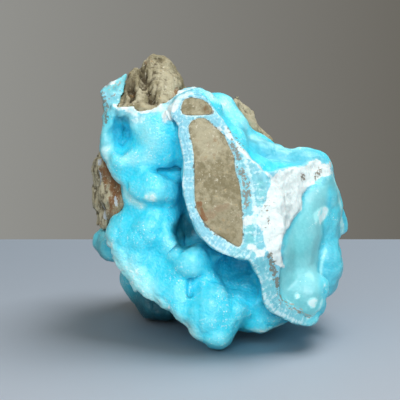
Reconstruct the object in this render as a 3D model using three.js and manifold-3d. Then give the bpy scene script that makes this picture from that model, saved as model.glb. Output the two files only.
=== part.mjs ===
// Botryoidal hemimorphite on broken brown matrix, a hand specimen that rests on its own underside.
// Millimetres, +Z up, the specimen's face towards -Y. The origin is under the middle of the specimen.
import * as THREE from "three";
import { ConvexGeometry } from "three/addons/geometries/ConvexGeometry.js";
import { ConvexHull } from "three/addons/math/ConvexHull.js";
import { ImprovedNoise } from "three/addons/math/ImprovedNoise.js";
import { MarchingCubes } from "three/addons/objects/MarchingCubes.js";
import { mergeVertices } from "three/addons/utils/BufferGeometryUtils.js";
import Module from "manifold-3d";

const wasm = await Module();
wasm.setup();

// ---- Driving dimensions -------------------------------------------------------------------
const SEAT_GAP = 0.3; // clearance between a piece of matrix and the crust round it
const ROCK_SEAT = 0.48; // how far a block's corners move out for its faces to clear the crust by that gap
const FACET = 3; // spacing of the grid on which the rounded crust is worked out
const GRID = 64; // points along a side of that grid, a power of two so that facets meet exactly
const LEAST = 0.3; // no grid point is nearer to the surface than this, so no facet is a sliver
const BLEND = 2.6; // how far neighbouring lumps run into each other
const HOLLOW_BLEND = 2; // how round the lip of a hollow is
const RIPPLE = 0.5; // waviness of the growth surface
const RIPPLE_SPACING = 7;
const JAG = 4; // how far a ledge's corners stray
const REACH = 160; // the blocks that breaks and the ground take away are this big
const FRONT = -50; // outlines are made solid from here, well in front of the specimen, and cut back
const BACK = 50;

// The plane that the specimen was broken along through the long clast: it leans out at its foot.
const FACE_BREAK = { at: [0, -25, 53], normal: [0, -0.906, 0.423] };
// The break to its right, which cuts the thick white crust, and the one through the lower rim.
const WHITE_BREAK = { at: [14.3, -24, 56], normal: [0.655, -0.676, 0.334] };
const RIM_BREAK = { at: [12, -34.6, 28], normal: [0.27, -0.963, 0] };
const GROUND = { at: [0, 0, 0], normal: [0, 0, -1] };

const MATRIX_COLOUR = 0x8a7a5c;
const CRUST_COLOUR = 0x3fc0e6;

// ---- The matrix -----------------------------------------------------------------------------
// Convex blocks, each the corners that it is hung from.
const MATRIX_BLOCKS = {
  body: [
    [-26, 8, 0], [-12, 3, 0], [14, 0, 0], [24, 4, 0], [26, 18, 0], [12, 29, 0], [-10, 30, 0],
    [-27, 21, 0], [-38, 9, 31], [-40, 9, 46], [-38, 16, 50], [-34, 25, 38], [-10, 31, 40],
    [14, 29, 42], [29, 22, 36], [33, 13, 28], [31, 9, 46], [-34, 10, 72], [-30, 22, 66],
    [-8, 24, 66], [10, 21, 60], [16, 17, 56],
  ],
  peak: [
    [-35.2, -4.6, 75.4], [-29.2, -6.6, 76.8], [-25.4, -7, 75.4], [-17.7, -7, 75.6], [-14.6, -3, 78],
    [-14, 7, 81.4], [-31.2, 4, 85.4], [-29, 6, 86.6], [-26, 9, 89], [-23.4, 10.4, 91], [-20.3, 11, 90.8],
    [-18.7, 12, 88.4], [-13, 14, 82.4], [-34, 20, 66], [-26, 22, 83], [-9, 22, 72], [-29, 1.4, 66],
    [-16, -2, 66],
  ],
  flankEdge: [
    [-41.4, 3, 57], [-43.6, 4, 53], [-44, 5, 47.5], [-44, 5, 39.8], [-43, 4, 33], [-39, -2, 32],
    [-38.6, -3.4, 44], [-39.4, -2, 55], [-36, 14, 62], [-38, 17, 38], [-34, 8, 31],
  ],
  flankRidge: [
    [-39.6, -1, 61.5], [-37, -4.4, 57.6], [-31.2, -9.6, 47.4], [-32, -9.8, 43.4], [-37, -6.4, 36],
    [-39.8, -3.6, 41], [-40, -2.6, 52], [-36, 8, 62], [-36, 10, 36], [-30, 6, 50],
  ],
  flankTop: [
    [-37.2, -1, 68], [-39.4, 0, 61], [-39.9, 1, 77], [-37.6, -2.4, 77], [-36, 8, 80],
    [-34, 10, 60], [-34, 0, 64],
  ],
  rib: [
    [4.5, 9.5, 75], [5.6, 13, 77.4], [6.9, 10.5, 70.5], [10.8, 11.5, 65.8], [13.5, 12, 63.4], [18.6, 13, 60.4],
    [8.4, 16, 73.6], [10.5, 18, 69.4], [13, 19, 65.4], [18.5, 20, 60.2], [2, 21, 68], [-4, 20, 60],
    [10, 23, 54], [19, 12, 53],
  ],
};
// Rough lumps that stand out of the matrix, with strayed corners: middle, radii, turn in degrees.
const LEDGES = {
  backHigh: { at: [-21, 20, 64], size: [16, 12, 14], turn: [14, 8, -16] },
  backHighLeft: { at: [-31, 17, 71], size: [8, 9, 10], turn: [10, -20, 30] },
  backRib: { at: [1, 19, 60], size: [13, 9, 12], turn: [10, -14, 12] },
  backMiddle: { at: [4, 26, 45], size: [18, 10, 11], turn: [-8, -9, 10] },
  backLeft: { at: [-27, 23, 44], size: [13, 11, 15], turn: [6, 10, -30] },
  backLow: { at: [-12, 27, 24], size: [17, 11, 14], turn: [10, 8, 4] },
  backRight: { at: [20, 20, 30], size: [13, 11, 15], turn: [-6, 8, -24] },
  backFoot: { at: [9, 22, 9], size: [18, 11, 11], turn: [0, -5, 9] },
  leftFoot: { at: [-25, 16, 12], size: [10, 12, 15], turn: [0, -18, 16] },
  leftBack: { at: [-36, 14, 46], size: [7.6, 9, 15], turn: [0, 6, -18] },
};
// Gullies and chips that are broken out of it.
const CHIPS = {
  gully: [
    [-29.4, 8, 89], [-25, 7, 89], [-26.8, 10, 85.4], [-19.8, -8, 76], [-25.8, -8, 76.6],
    [-23, 0, 76.6],
  ],
  groove: [
    [-32.4, 0, 84], [-29, 0, 84.6], [-31, 3.6, 82], [-27.4, -6, 76.4], [-31, -6, 76.6],
    [-29.6, -1, 76],
  ],
  cleft: [[-8, 44, 46], [4, 44, 42], [-2, 31, 38], [-12, 44, 6], [2, 44, 12], [-5, 33, 14]],
  corner: [[30, 34, 20], [14, 42, 16], [24, 34, 4], [24, 24, 20], [34, 20, 12], [16, 32, 2]],
};

// ---- The clasts, and the broken rim of crust round them, as outlines in X and Z ---------------
const LONG_CLAST = [
  [-10.4, 71.6], [-8.7, 73.4], [-5.8, 73.8], [-3.5, 72], [0, 69], [1.7, 66], [3.4, 62.4],
  [3.9, 58], [5.2, 54.4], [6, 46.6], [6.1, 37.4], [5.4, 35.9], [1.6, 38], [-2.3, 40.2],
  [-4.9, 42.4], [-7.7, 46.8], [-8.4, 51.4], [-8.4, 60], [-9.3, 67],
];
const SMALL_CLAST = [
  [-12.7, 76], [-12.2, 79.2], [-10.4, 80.1], [-7.4, 79.7], [-5.2, 78.6], [-3.2, 76.2], [-6, 75.6],
  [-9.6, 75.4],
];
const COLLAR = [
  [-14.3, 71.9], [-14.3, 69.2], [-13.3, 65.5], [-12.5, 60.6], [-12.9, 53.8], [-11.3, 46.6],
  [-9.4, 42.5], [-6.8, 38.6], [-3.9, 36], [0, 33.6], [3.8, 32.4], [7.3, 31.8], [10.4, 32],
  [14, 36], [14.5, 48], [14, 57], [9.1, 62.2], [5.9, 65.6], [3.3, 68.9], [0.8, 72.4], [-1.2, 75.3],
  [-3, 78], [-6, 81.2], [-10.4, 82], [-14, 81], [-16.6, 78], [-16.4, 74.4],
];
const RIM_DEPTH = 5; // how far behind the break the rim keeps its sharp outline
const CLAST_BACK = { long: -6, small: -9 };
// The thick white crust at the right, and the narrow rim that hangs below it.
const WHITE_LEDGE = [
  [19.1, 57.7], [26.7, 57.4], [31.7, 58.3], [36.7, 56.4], [37.7, 52.8], [31.5, 51.5], [28.3, 50.4],
  [26.5, 48.3], [26.1, 44.5], [24, 42.9], [21.9, 40], [19.1, 36.8], [18.8, 33.4], [19.7, 28.7],
  [16.6, 30.2], [14.6, 33.5], [12, 37.2], [10.6, 44.5], [11.6, 50], [12.6, 57],
];
const WHITE_LEDGE_BACK = 2;
const LOWER_RIM = [
  [6.6, 34], [8.6, 31.8], [10.8, 28], [12.6, 23], [13.2, 18], [15, 14.2], [18.6, 12], [22, 9.8],
  [26, 8.2], [29.4, 7.8], [31.6, 9.4], [31, 12.4], [27, 13], [22.6, 14.8], [19.4, 17.6],
  [18.6, 22], [18.6, 28], [19.4, 33], [13, 37],
];
const LOWER_RIM_BACK = -6;

// ---- The crust ------------------------------------------------------------------------------
// Convex blocks that carry the rounded crust, each the corners that it is hung from.
const CRUST_BLOCKS = {
  core: [
    [-34, 1, 70], [-32, 0, 40], [-28, -2, 24], [-12, -8, 10], [0, -10, 3], [22, -8, 5],
    [34, -4, 16], [38, 0, 34], [36, 0, 52], [26, 1, 55], [10, 2, 56], [-4, 4, 72], [-32, 2, 74],
    [-34, 14, 60], [34, 14, 40], [0, 16, 30], [24, 12, 8],
  ],
  spineTop: [
    [-15.4, -30, 77.4], [-13.4, -30, 80], [-9, -30, 81], [-3.2, -30, 77.6], [2, -30, 70.6],
    [-13.4, -30, 71], [-15.4, 2, 77], [-13.4, 4, 79.6], [-9, 4, 80.4], [-3.2, 4, 77], [2, 4, 70],
    [-13, 2, 70],
  ],
  spine: [
    [-13.4, -30, 70], [-11.8, -34, 55], [-8.4, -38, 43.6], [-3, -40, 36.8], [3, -40, 33.8],
    [8, -40, 33.4], [9, -38, 40], [6.6, -30, 64], [-0.4, -30, 74], [-13, 4, 70], [-11.6, 4, 55],
    [-8, 2, 44], [-2, 0, 38], [9, 0, 38], [6.6, 4, 64], [-0.4, 4, 74],
  ],
  spineRight: [
    [8, -26, 56], [8, -40, 36], [17, -40, 34], [13.6, -26, 55], [22, -16, 54], [26, -10, 54],
    [8, -8, 54], [26, -4, 52], [10, -4, 36], [24, -4, 36],
  ],
  saddleHigh: [
    [-9, 8, 78], [-3.7, 11, 79], [2, 12, 78.8], [4.2, 12, 77.6], [6.2, 12, 72], [8, 11, 68],
    [-8, -6, 72], [0, -6, 66], [7, -8, 58], [-8, 0, 60], [8, 0, 54], [8, 12, 60],
  ],
  saddleLow: [
    [7, 11, 68], [11.5, 12, 63.6], [16, 12.4, 60], [22.5, 10, 57], [27, 6, 56], [7, -8, 58],
    [13, -9, 53], [24, -8, 52], [8, 0, 48], [28, 0, 46], [26, 10, 46],
  ],
  mantle: [
    [-18.2, -7, 75], [-17.6, -3, 79.4], [-14.6, 4, 81.8], [-10.8, 8, 82.6], [-7.8, 10, 79],
    [-4, 6, 78], [-6, -11, 79], [-13, -12, 78], [-18, -6, 70], [-4, -6, 70], [-6, 10, 74],
  ],
  cheek: [
    [11.6, -31, 35], [19, -30, 35], [14.6, -32, 18], [20, -30, 12], [29, -26, 11], [31, -10, 12],
    [33, -10, 30], [30, -6, 48], [18, -18, 48], [12, -10, 42], [13, -8, 14],
  ],
  wing: [
    [37, -3, 53], [37.6, 3, 50], [39.4, -1, 43], [43.2, 0, 30.6], [41.4, 3, 29.6], [36, -8, 34],
    [34, -7, 46], [34, 6, 48], [34, 6, 32],
  ],
};
// Rounded lumps, each a turned ellipsoid: middle, radii, turn in degrees.
const CRUST_LUMPS = {
  // the shoulder under the peak, and the rim at its left
  shoulder: { at: [-20.8, -4, 66.4], size: [9.2, 10.4, 10.4] },
  shoulderTop: { at: [-20.8, -6, 72.2], size: [6.4, 6, 4] },
  shoulderLow: { at: [-27, -6, 60.6], size: [7, 8, 5] },
  throat: { at: [-29, -4, 72], size: [4, 6, 4.4] },
  leftRim: { at: [-36.6, -4.4, 67], size: [3.2, 5.4, 11], turn: [0, 6, 0] },
  bandHigh: { at: [-33.6, -6, 57.4], size: [3.6, 6, 7.4], turn: [0, -26, 0] },
  bandLow: { at: [-29.8, -8, 50.4], size: [3.6, 6.4, 7], turn: [0, -24, 0] },
  bandKnob: { at: [-28.8, -9.6, 45.6], size: [4, 4.8, 4] },
  // the knee and the belly below it
  knee: { at: [-23.4, -9, 50.4], size: [8.4, 10, 8.4] },
  kneeRight: { at: [-16.6, -7, 47.8], size: [5.2, 8.4, 9.4] },
  kneeFoot: { at: [-20.4, -9, 41.4], size: [8, 8.4, 5.4] },
  belly: { at: [-30.4, -9.4, 34.2], size: [7.8, 9, 7.6] },
  bellyMiddle: { at: [-22.4, -12, 34], size: [9.6, 8.6, 9] },
  bellyRidge: { at: [-16.6, -13, 32.4], size: [5.4, 8, 8] },
  // the plate that runs down to the toe
  plateHigh: { at: [-26.6, -13, 27], size: [12.6, 7, 12], turn: [-20, 0, 0] },
  plateMiddle: { at: [-19.6, -17.6, 20], size: [13, 7.2, 12], turn: [-22, -16, 0] },
  plateLow: { at: [-13, -22, 15], size: [10, 7.6, 11], turn: [-22, -14, 0] },
  plateLip: { at: [-27.6, -17.6, 20], size: [4, 4, 12], turn: [-30, -48, 0] },
  pad: { at: [-10.2, -20.6, 27.4], size: [6.6, 8, 6.6] },
  padSlope: { at: [-1.6, -17, 21.6], size: [8, 8.6, 9] },
  toe: { at: [-3.8, -25, 10.8], size: [9.2, 10.8, 11] },
  toeRidge: { at: [3.4, -25, 9.4], size: [3.6, 8, 9], turn: [0, 26, 0] },
  toeTip: { at: [-1.2, -30, 4.6], size: [4.4, 5.4, 5] },
  // the wall behind the long clast, and the floor and back of the cave under it
  wallHigh: { at: [-8.6, -7, 62], size: [5.2, 9, 8] },
  wallLow: { at: [-6, -12, 46], size: [5.4, 10, 7] },
  caveBack: { at: [7.6, -9, 20], size: [9, 7.6, 12] },
  caveRidge: { at: [7.6, -17, 16.6], size: [5, 6.4, 2.8], turn: [0, 20, 0] },
  bulge: { at: [8.8, -20, 11.6], size: [5.8, 6.8, 4.8] },
  bulgeRight: { at: [14.4, -19, 9.6], size: [5.6, 6.6, 4.8] },
  shelf: { at: [14, -15, 7], size: [12, 10, 4.4], turn: [0, -10, 0] },
  // the underside at the left
  heel: { at: [-36, 3, 27], size: [8.4, 9, 6] },
  ankle: { at: [-24, 1, 18], size: [8, 6, 7] },
  foot: { at: [-25.4, 0.6, 8.4], size: [7.2, 7, 8] },
  footRight: { at: [-18.6, -1.6, 6.4], size: [6.6, 6.4, 6] },
  footLeft: { at: [-30, 4, 14], size: [5, 6, 7] },
  // the right side
  pillar: { at: [25.4, -13, 33], size: [7.6, 9, 21], turn: [-27, 13, 0] },
  pillarShoulder: { at: [31, -6.6, 46.6], size: [7, 7, 7] },
  lobe: { at: [27.2, -22.6, 16.4], size: [7.8, 9.4, 9] },
  rimRoot: { at: [18.4, -24, 31], size: [5, 7, 6] },
  wingHigh: { at: [35.4, -3, 42], size: [5.4, 8, 12], turn: [0, -8, 0] },
  wingLow: { at: [34.4, -6, 22], size: [6.6, 9, 11.4] },
  wingBack: { at: [33, 8, 30], size: [6.6, 9, 14] },
  // the top, from the rim back to the rock
  rimCrest: { at: [-4.4, -5, 76.4], size: [4.4, 6.4, 4] },
  troughHead: { at: [-9, 1, 73], size: [5.4, 7.6, 6.4] },
  troughBed: { at: [4.4, -9, 61.6], size: [6, 10, 8], turn: [0, -37, 0] },
  troughFoot: { at: [11.6, -13, 56], size: [6, 8, 4.6], turn: [0, 30, 0] },
  saddleCrest: { at: [-1, 6, 73], size: [6.4, 5.4, 5] },
  saddleRise: { at: [5, 4, 66], size: [5, 5.4, 6] },
  saddleKnob: { at: [12, 0, 59.6], size: [5, 6, 4.8] },
  saddleLump: { at: [19.4, -1, 55.4], size: [5.2, 6, 5.2] },
  bump: { at: [28.4, -0.4, 55.2], size: [7.8, 7.2, 6] },
  bumpEnd: { at: [33.8, 0.6, 53.4], size: [4, 5.6, 4.2] },
};
// Hollows in it, as ellipsoids.
const HOLLOWS = {
  niche: { at: [-33.4, -9.4, 67.6], size: [3.1, 7, 7] },
  cleft: { at: [-12.4, -17, 48], size: [2.3, 12, 12], turn: [0, 4, 0] },
  slit: { at: [-15.6, -14, 57], size: [5.4, 7, 1.8] },
  vug: { at: [-11.6, -16, 35.4], size: [4.4, 11, 4.8] },
  cave: { at: [5.6, -22, 24.8], size: [8, 11.6, 6.8] },
  pit: { at: [-9.8, -31, 20.6], size: [1.7, 6, 3] },
  dell: { at: [-23, -27, 29.4], size: [6.4, 7.4, 7.4] },
};
// Broken crust, as convex blocks with sharp edges.
const BROKEN_CRUST = {
  fin: [
    [-40.4, -3, 80.6], [-37.8, -2, 82.9], [-34, 0, 84.4], [-31.8, 2.6, 86.3], [-37.6, -4.6, 74],
    [-33, -5, 75], [-37, -4, 66], [-35, -3, 66], [-40, 2, 80.6], [-37.4, 3, 82.6], [-31, 5, 85.6],
    [-35, 5, 66], [-31, 4, 72],
  ],
  knob: [
    [-35.4, -8, 76], [-34, -9, 76.6], [-29, -9.2, 77], [-28.4, -8.8, 74.6], [-33.6, -9, 73.4],
    [-36, -3, 75], [-28.6, -2, 76], [-28, -2, 72], [-35, -2, 72],
  ],
};
// What hangs free at the foot: the space under the lip at the left, and that under the right side.
const UNDERCUTS = [
  [
    [-38.8, -14, 28.6], [-38.8, -3, 30], [-29.9, -20, 15.6], [-28, -4, 18], [-46, -14, 29],
    [-46, -3, 26], [-46, -24, -2], [-30, -24, -2], [-30, -9, -2], [-46, -3, -2],
  ],
  [
    [-30, -22, 15.8], [-23.4, -24, 12.6], [-10, -34, 5.6], [-4.8, -38, 2.2], [-28, -4, 18],
    [-18, -6, 14], [-9, -12, 8], [-5.4, -18, 3], [-34, -24, -4], [-5, -40, -4], [-5, -16, -4],
    [-18, -9, -4], [-34, -8, -4],
  ],
  [
    [3, -32, -1.4], [8, -28, 1], [14, -27, 3], [26, -24, 5], [34, -20, 6], [36, -4, 4],
    [8, -34, -6], [36, -34, -6], [36, -4, -6], [4, -8, -1.4], [8, -8, -6],
  ],
];

// ---- Making solids --------------------------------------------------------------------------
const noise = new ImprovedNoise();

function placement({ at, turn = [0, 0, 0] }) {
  const [x, y, z] = turn.map((degrees) => THREE.MathUtils.degToRad(degrees));
  return new THREE.Matrix4().makeRotationFromEuler(new THREE.Euler(x, y, z)).setPosition(...at);
}

function solidFrom(geometry) {
  const bare = geometry.clone();
  bare.deleteAttribute("normal");
  bare.deleteAttribute("uv");
  const merged = mergeVertices(bare, 1e-4);
  const vertProperties = merged.attributes.position.array;
  return new wasm.Manifold(new wasm.Mesh({ numProp: 3, vertProperties, triVerts: merged.index.array }));
}

function geometryFrom(solid) {
  const { numProp, vertProperties, triVerts } = solid.getMesh();
  const corners = [];
  for (let i = 0; i < vertProperties.length; i += numProp) {
    corners.push(...vertProperties.subarray(i, i + 3));
  }
  const geometry = new THREE.BufferGeometry();
  geometry.setAttribute("position", new THREE.Float32BufferAttribute(corners, 3));
  geometry.setIndex([...triVerts]);
  const flat = geometry.toNonIndexed();
  flat.computeVertexNormals();
  return flat;
}

function joined(solids) {
  return wasm.Manifold.union(solids);
}

/** A convex block through the given corners, its corners moved out from its middle by `grow`. */
function block(corners, grow = 0) {
  const points = corners.map((corner) => new THREE.Vector3(...corner));
  const middle = new THREE.Vector3();
  for (const point of points) middle.addScaledVector(point, 1 / points.length);
  for (const point of points) point.addScaledVector(point.clone().sub(middle).normalize(), grow);
  return solidFrom(new ConvexGeometry(points));
}

/** The corners of a turned dodecahedron, each strayed by up to JAG so that no two ledges are alike. */
function ledgeCorners({ at, size, turn }) {
  const lump = new THREE.DodecahedronGeometry(1).scale(...size).applyMatrix4(placement({ at, turn }));
  const corners = [];
  for (let i = 0; i < lump.attributes.position.count; i++) {
    const corner = new THREE.Vector3().fromBufferAttribute(lump.attributes.position, i);
    const [x, y, z] = corner.toArray();
    const stray = (value, axis) => value + JAG * noise.noise(x / 3 + 9 * axis, y / 3, z / 3);
    corners.push([x, y, z].map(stray));
  }
  return corners;
}

/** An outline in X and Z, smoothed, moved out by `grow` and made solid back to y = back. */
function prism(outline, back, grow = 0) {
  const corners = outline.map(([x, z]) => new THREE.Vector3(x, z, 0));
  const curve = new THREE.CatmullRomCurve3(corners, true, "centripetal");
  const ring = curve.getPoints(outline.length * 2).slice(0, -1);
  const side = THREE.ShapeUtils.area(ring) > 0 ? grow : -grow;
  const grown = ring.map((point, i) => {
    const along = ring[(i + 1) % ring.length].clone().sub(ring.at(i - 1)).normalize();
    return new THREE.Vector2(point.x + along.y * side, point.y - along.x * side);
  });
  const solid = { depth: back - FRONT, bevelEnabled: false };
  const geometry = new THREE.ExtrudeGeometry(new THREE.Shape(grown), solid);
  geometry.rotateX(Math.PI / 2); // the outline's y becomes z, and the depth runs to -y
  geometry.translate(0, back, 0);
  return solidFrom(geometry);
}

/** All that lies on the far side of a plane: a big block whose face is in the plane. */
function beyond({ at, normal }) {
  const box = new THREE.BoxGeometry(REACH, REACH, REACH).translate(0, 0, REACH / 2);
  const out = new THREE.Vector3(...normal).normalize();
  box.applyQuaternion(new THREE.Quaternion().setFromUnitVectors(new THREE.Vector3(0, 0, 1), out));
  return solidFrom(box.translate(...at));
}

/** All that lies more than `depth` behind a plane. */
function behind({ at, normal }, depth) {
  return beyond({
    at: at.map((value, axis) => value - depth * normal[axis]),
    normal: normal.map((value) => -value),
  });
}

// ---- The rounded crust, from the distance to its surface --------------------------------------
/** Distance to a turned ellipsoid, true near its surface. */
function lumpDistance({ at, size, turn }) {
  const toLump = placement({ at, turn }).invert();
  const radii = new THREE.Vector3(...size);
  const place = new THREE.Vector3();
  return (point) => {
    place.copy(point).applyMatrix4(toLump).divide(radii);
    const scaled = place.length();
    const slope = place.divide(radii).length();
    return slope > 0 ? (scaled * (scaled - 1)) / slope : -Math.min(...size);
  };
}

/** Distance to a convex block, as that to the farthest of its faces' planes. */
function blockDistance(corners) {
  const points = corners.map((corner) => new THREE.Vector3(...corner));
  const { faces } = new ConvexHull().setFromPoints(points);
  return (point) => Math.max(...faces.map((face) => face.distanceToPoint(point)));
}

/** The lesser of two distances, with a fillet where they are nearly alike. */
function blended(a, b, fillet) {
  const near = Math.max(fillet - Math.abs(a - b), 0) / fillet;
  return Math.min(a, b) - (near * near * fillet) / 4;
}

/** Distance to the rounded crust: lumps and blocks run together, less the hollows, and rippled. */
function crustDistance() {
  const blocks = Object.values(CRUST_BLOCKS).map(blockDistance);
  const grown = [...blocks, ...Object.values(CRUST_LUMPS).map(lumpDistance)];
  const hollows = Object.values(HOLLOWS).map(lumpDistance);
  return (point) => {
    const filled = grown.reduce((least, distance) => blended(least, distance(point), BLEND), Infinity);
    const open = hollows.reduce((least, distance) => blended(least, distance(point), BLEND), Infinity);
    const { x, y, z } = point.clone().divideScalar(RIPPLE_SPACING);
    return -blended(-filled, open, HOLLOW_BLEND) - RIPPLE * noise.noise(x, y, z);
  };
}

/** A closed solid of all the points whose distance is negative. */
function solidWithin(distance, middle) {
  const cubes = new MarchingCubes(GRID, undefined, false, false, GRID ** 3 / 8);
  cubes.isolation = 0;
  const point = new THREE.Vector3();
  cubes.field.forEach((_, i) => {
    point.set(i % GRID, Math.floor(i / GRID) % GRID, Math.floor(i / GRID ** 2));
    const away = distance(point.subScalar(GRID / 2).multiplyScalar(FACET).add(middle));
    cubes.field[i] = -Math.sign(away) * Math.max(Math.abs(away), LEAST);
  });
  cubes.update();
  const corners = cubes.positionArray.slice(0, 3 * cubes.count);
  const half = (GRID / 2) * FACET; // the grid's corners run from -1 to 1
  const geometry = new THREE.BufferGeometry();
  geometry.setAttribute("position", new THREE.BufferAttribute(corners, 3));
  return solidFrom(geometry.scale(half, half, half).translate(...middle));
}

// ---- The pieces -----------------------------------------------------------------------------
function matrixSolid(grow = 0) {
  const shapes = [...Object.values(MATRIX_BLOCKS), ...Object.values(LEDGES).map(ledgeCorners)];
  return joined(shapes.map((corners) => block(corners, grow)));
}

function clastSolid(outline, back, grow = 0) {
  return prism(outline, back + grow, grow);
}

function crustSolid() {
  const rounded = solidWithin(crustDistance(), new THREE.Vector3(0, 0, 44));
  const broken = [
    prism(COLLAR, BACK).subtract(behind(FACE_BREAK, RIM_DEPTH)),
    prism(WHITE_LEDGE, WHITE_LEDGE_BACK).subtract(joined([beyond(WHITE_BREAK), beyond(RIM_BREAK)])),
    prism(LOWER_RIM, LOWER_RIM_BACK).subtract(beyond(RIM_BREAK)),
    ...Object.values(BROKEN_CRUST).map((corners) => block(corners)),
  ];
  const taken = [
    beyond(FACE_BREAK),
    ...UNDERCUTS.map((corners) => block(corners)),
    matrixSolid(ROCK_SEAT),
    clastSolid(LONG_CLAST, CLAST_BACK.long, SEAT_GAP),
    clastSolid(SMALL_CLAST, CLAST_BACK.small, SEAT_GAP),
    beyond(GROUND),
  ];
  return joined([rounded, ...broken]).subtract(joined(taken));
}

/** A mesh of the solid's biggest body: crumbs that a break leaves loose are left out. */
function piece(name, solid, colour) {
  const biggest = solid.decompose().reduce((a, b) => (a.volume() > b.volume() ? a : b));
  const material = new THREE.MeshStandardMaterial({ color: colour, roughness: 0.6, metalness: 0 });
  const mesh = new THREE.Mesh(geometryFrom(biggest), material);
  mesh.name = name;
  return mesh;
}

/** Moves the group so that its origin is under the middle of what it holds, at the lowest point. */
function centred(group) {
  const { min, max } = new THREE.Box3().setFromObject(group);
  group.position.set(-(min.x + max.x) / 2, -(min.y + max.y) / 2, -min.z);
  return group;
}

const chips = joined([...Object.values(CHIPS).map((corners) => block(corners)), beyond(GROUND)]);
const longClast = clastSolid(LONG_CLAST, CLAST_BACK.long).subtract(beyond(FACE_BREAK));
const smallClast = clastSolid(SMALL_CLAST, CLAST_BACK.small).subtract(beyond(FACE_BREAK));
const specimen = new THREE.Group();
specimen.add(
  piece("matrix_rock", matrixSolid().subtract(chips), MATRIX_COLOUR),
  piece("hemimorphite_crust", crustSolid(), CRUST_COLOUR),
  piece("matrix_long_clast", longClast, MATRIX_COLOUR),
  piece("matrix_small_clast", smallClast, MATRIX_COLOUR),
);

export default centred(specimen);
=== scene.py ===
"""Dresses the hemimorphite specimen: a sky-blue botryoidal crust on broken brown matrix.

Everything is in metres, +Z up, with the broken face towards -Y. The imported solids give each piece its
place and main form; this script rounds them, grows the small lobes, breaks the rims and gives the rock
its grain. Lengths in the dataclasses are in millimetres, and MM turns them into metres.
"""

from __future__ import annotations

import logging
import math
from dataclasses import dataclass
from enum import Enum

import bpy
import numpy as np
from mathutils import Vector, noise
from mathutils.bvhtree import BVHTree
from mathutils.kdtree import KDTree
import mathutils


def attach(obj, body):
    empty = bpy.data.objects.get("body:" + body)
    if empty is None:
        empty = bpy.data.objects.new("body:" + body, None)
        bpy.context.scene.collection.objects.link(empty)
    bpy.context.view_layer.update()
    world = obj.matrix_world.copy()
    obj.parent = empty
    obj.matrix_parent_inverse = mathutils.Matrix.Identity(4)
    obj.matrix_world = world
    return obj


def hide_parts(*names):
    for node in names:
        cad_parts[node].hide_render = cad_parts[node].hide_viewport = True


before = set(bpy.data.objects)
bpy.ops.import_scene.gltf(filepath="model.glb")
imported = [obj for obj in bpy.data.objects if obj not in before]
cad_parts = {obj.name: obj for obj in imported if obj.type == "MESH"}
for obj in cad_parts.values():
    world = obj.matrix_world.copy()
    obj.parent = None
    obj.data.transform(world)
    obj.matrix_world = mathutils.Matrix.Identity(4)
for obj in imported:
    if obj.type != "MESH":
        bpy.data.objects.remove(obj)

MM = 0.001
MERGE = 0.002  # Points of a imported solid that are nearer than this, in millimetres, are one.
TINY = 1e-9  # Stands in for the squared length of a path that is a single point.
LOG = logging.getLogger("specimen")
BODY = "root"

Point = tuple[float, float, float]
Flat = tuple[float, float]
Path = tuple[Point, ...] | tuple[Flat, ...]
Colour = tuple[float, float, float]


class Mark(str, Enum):
    """What is written on each point of a piece for its finish to read."""

    HOLLOW = "hollow"
    CREST = "crest"
    PALE = "pale"
    DARK = "dark"
    BROKEN = "broken"
    WHITE = "white"
    TEAL = "teal"
    BROWN = "brown"
    LAYER = "layer"
    ROOT = "root"


# ---- Working on a mesh ----------------------------------------------------------------------


def deselect() -> None:
    """Takes every object out of the selection."""
    bpy.ops.object.select_all(action="DESELECT")


def smoothstep(low: float, high: float, values: np.ndarray) -> np.ndarray:
    """A soft step from 0 at `low` to 1 at `high`.

    Args:
        low: Where the step starts.
        high: Where it ends; less than `low` for a step down.
        values: What is stepped.

    Returns:
        Numbers from 0 to 1.
    """
    t = np.clip((values - low) / (high - low), 0, 1)
    return t * t * (3 - 2 * t)


def flecked(points: np.ndarray, spacing: float | Point, seed: float = 0.0) -> np.ndarray:
    """Smooth noise at points.

    Args:
        points: Places in metres.
        spacing: Distance between its lumps in millimetres, or one such distance for each axis.
        seed: Moves the noise to another place.

    Returns:
        One number from about -1 to 1 for each point.
    """
    scaled = points / (np.array(spacing) * MM) + seed
    return np.array([noise.noise(Vector(place)) for place in scaled])


def vectors(items: bpy.types.bpy_prop_collection, name: str) -> np.ndarray:
    """Reads one vector of each point or face of a mesh.

    Args:
        items: The points or faces.
        name: Which of their vectors.

    Returns:
        One row for each.
    """
    flat = np.empty(len(items) * 3, np.float32)
    items.foreach_get(name, flat)
    return flat.reshape(-1, 3).astype(float)


def search_tree(places: np.ndarray | list[np.ndarray]) -> KDTree:
    """A search tree of places.

    Args:
        places: The places, in metres.

    Returns:
        The tree, in which each place has its number.
    """
    tree = KDTree(len(places))
    for i, place in enumerate(places):
        tree.insert(place, i)
    tree.balance()
    return tree


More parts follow.
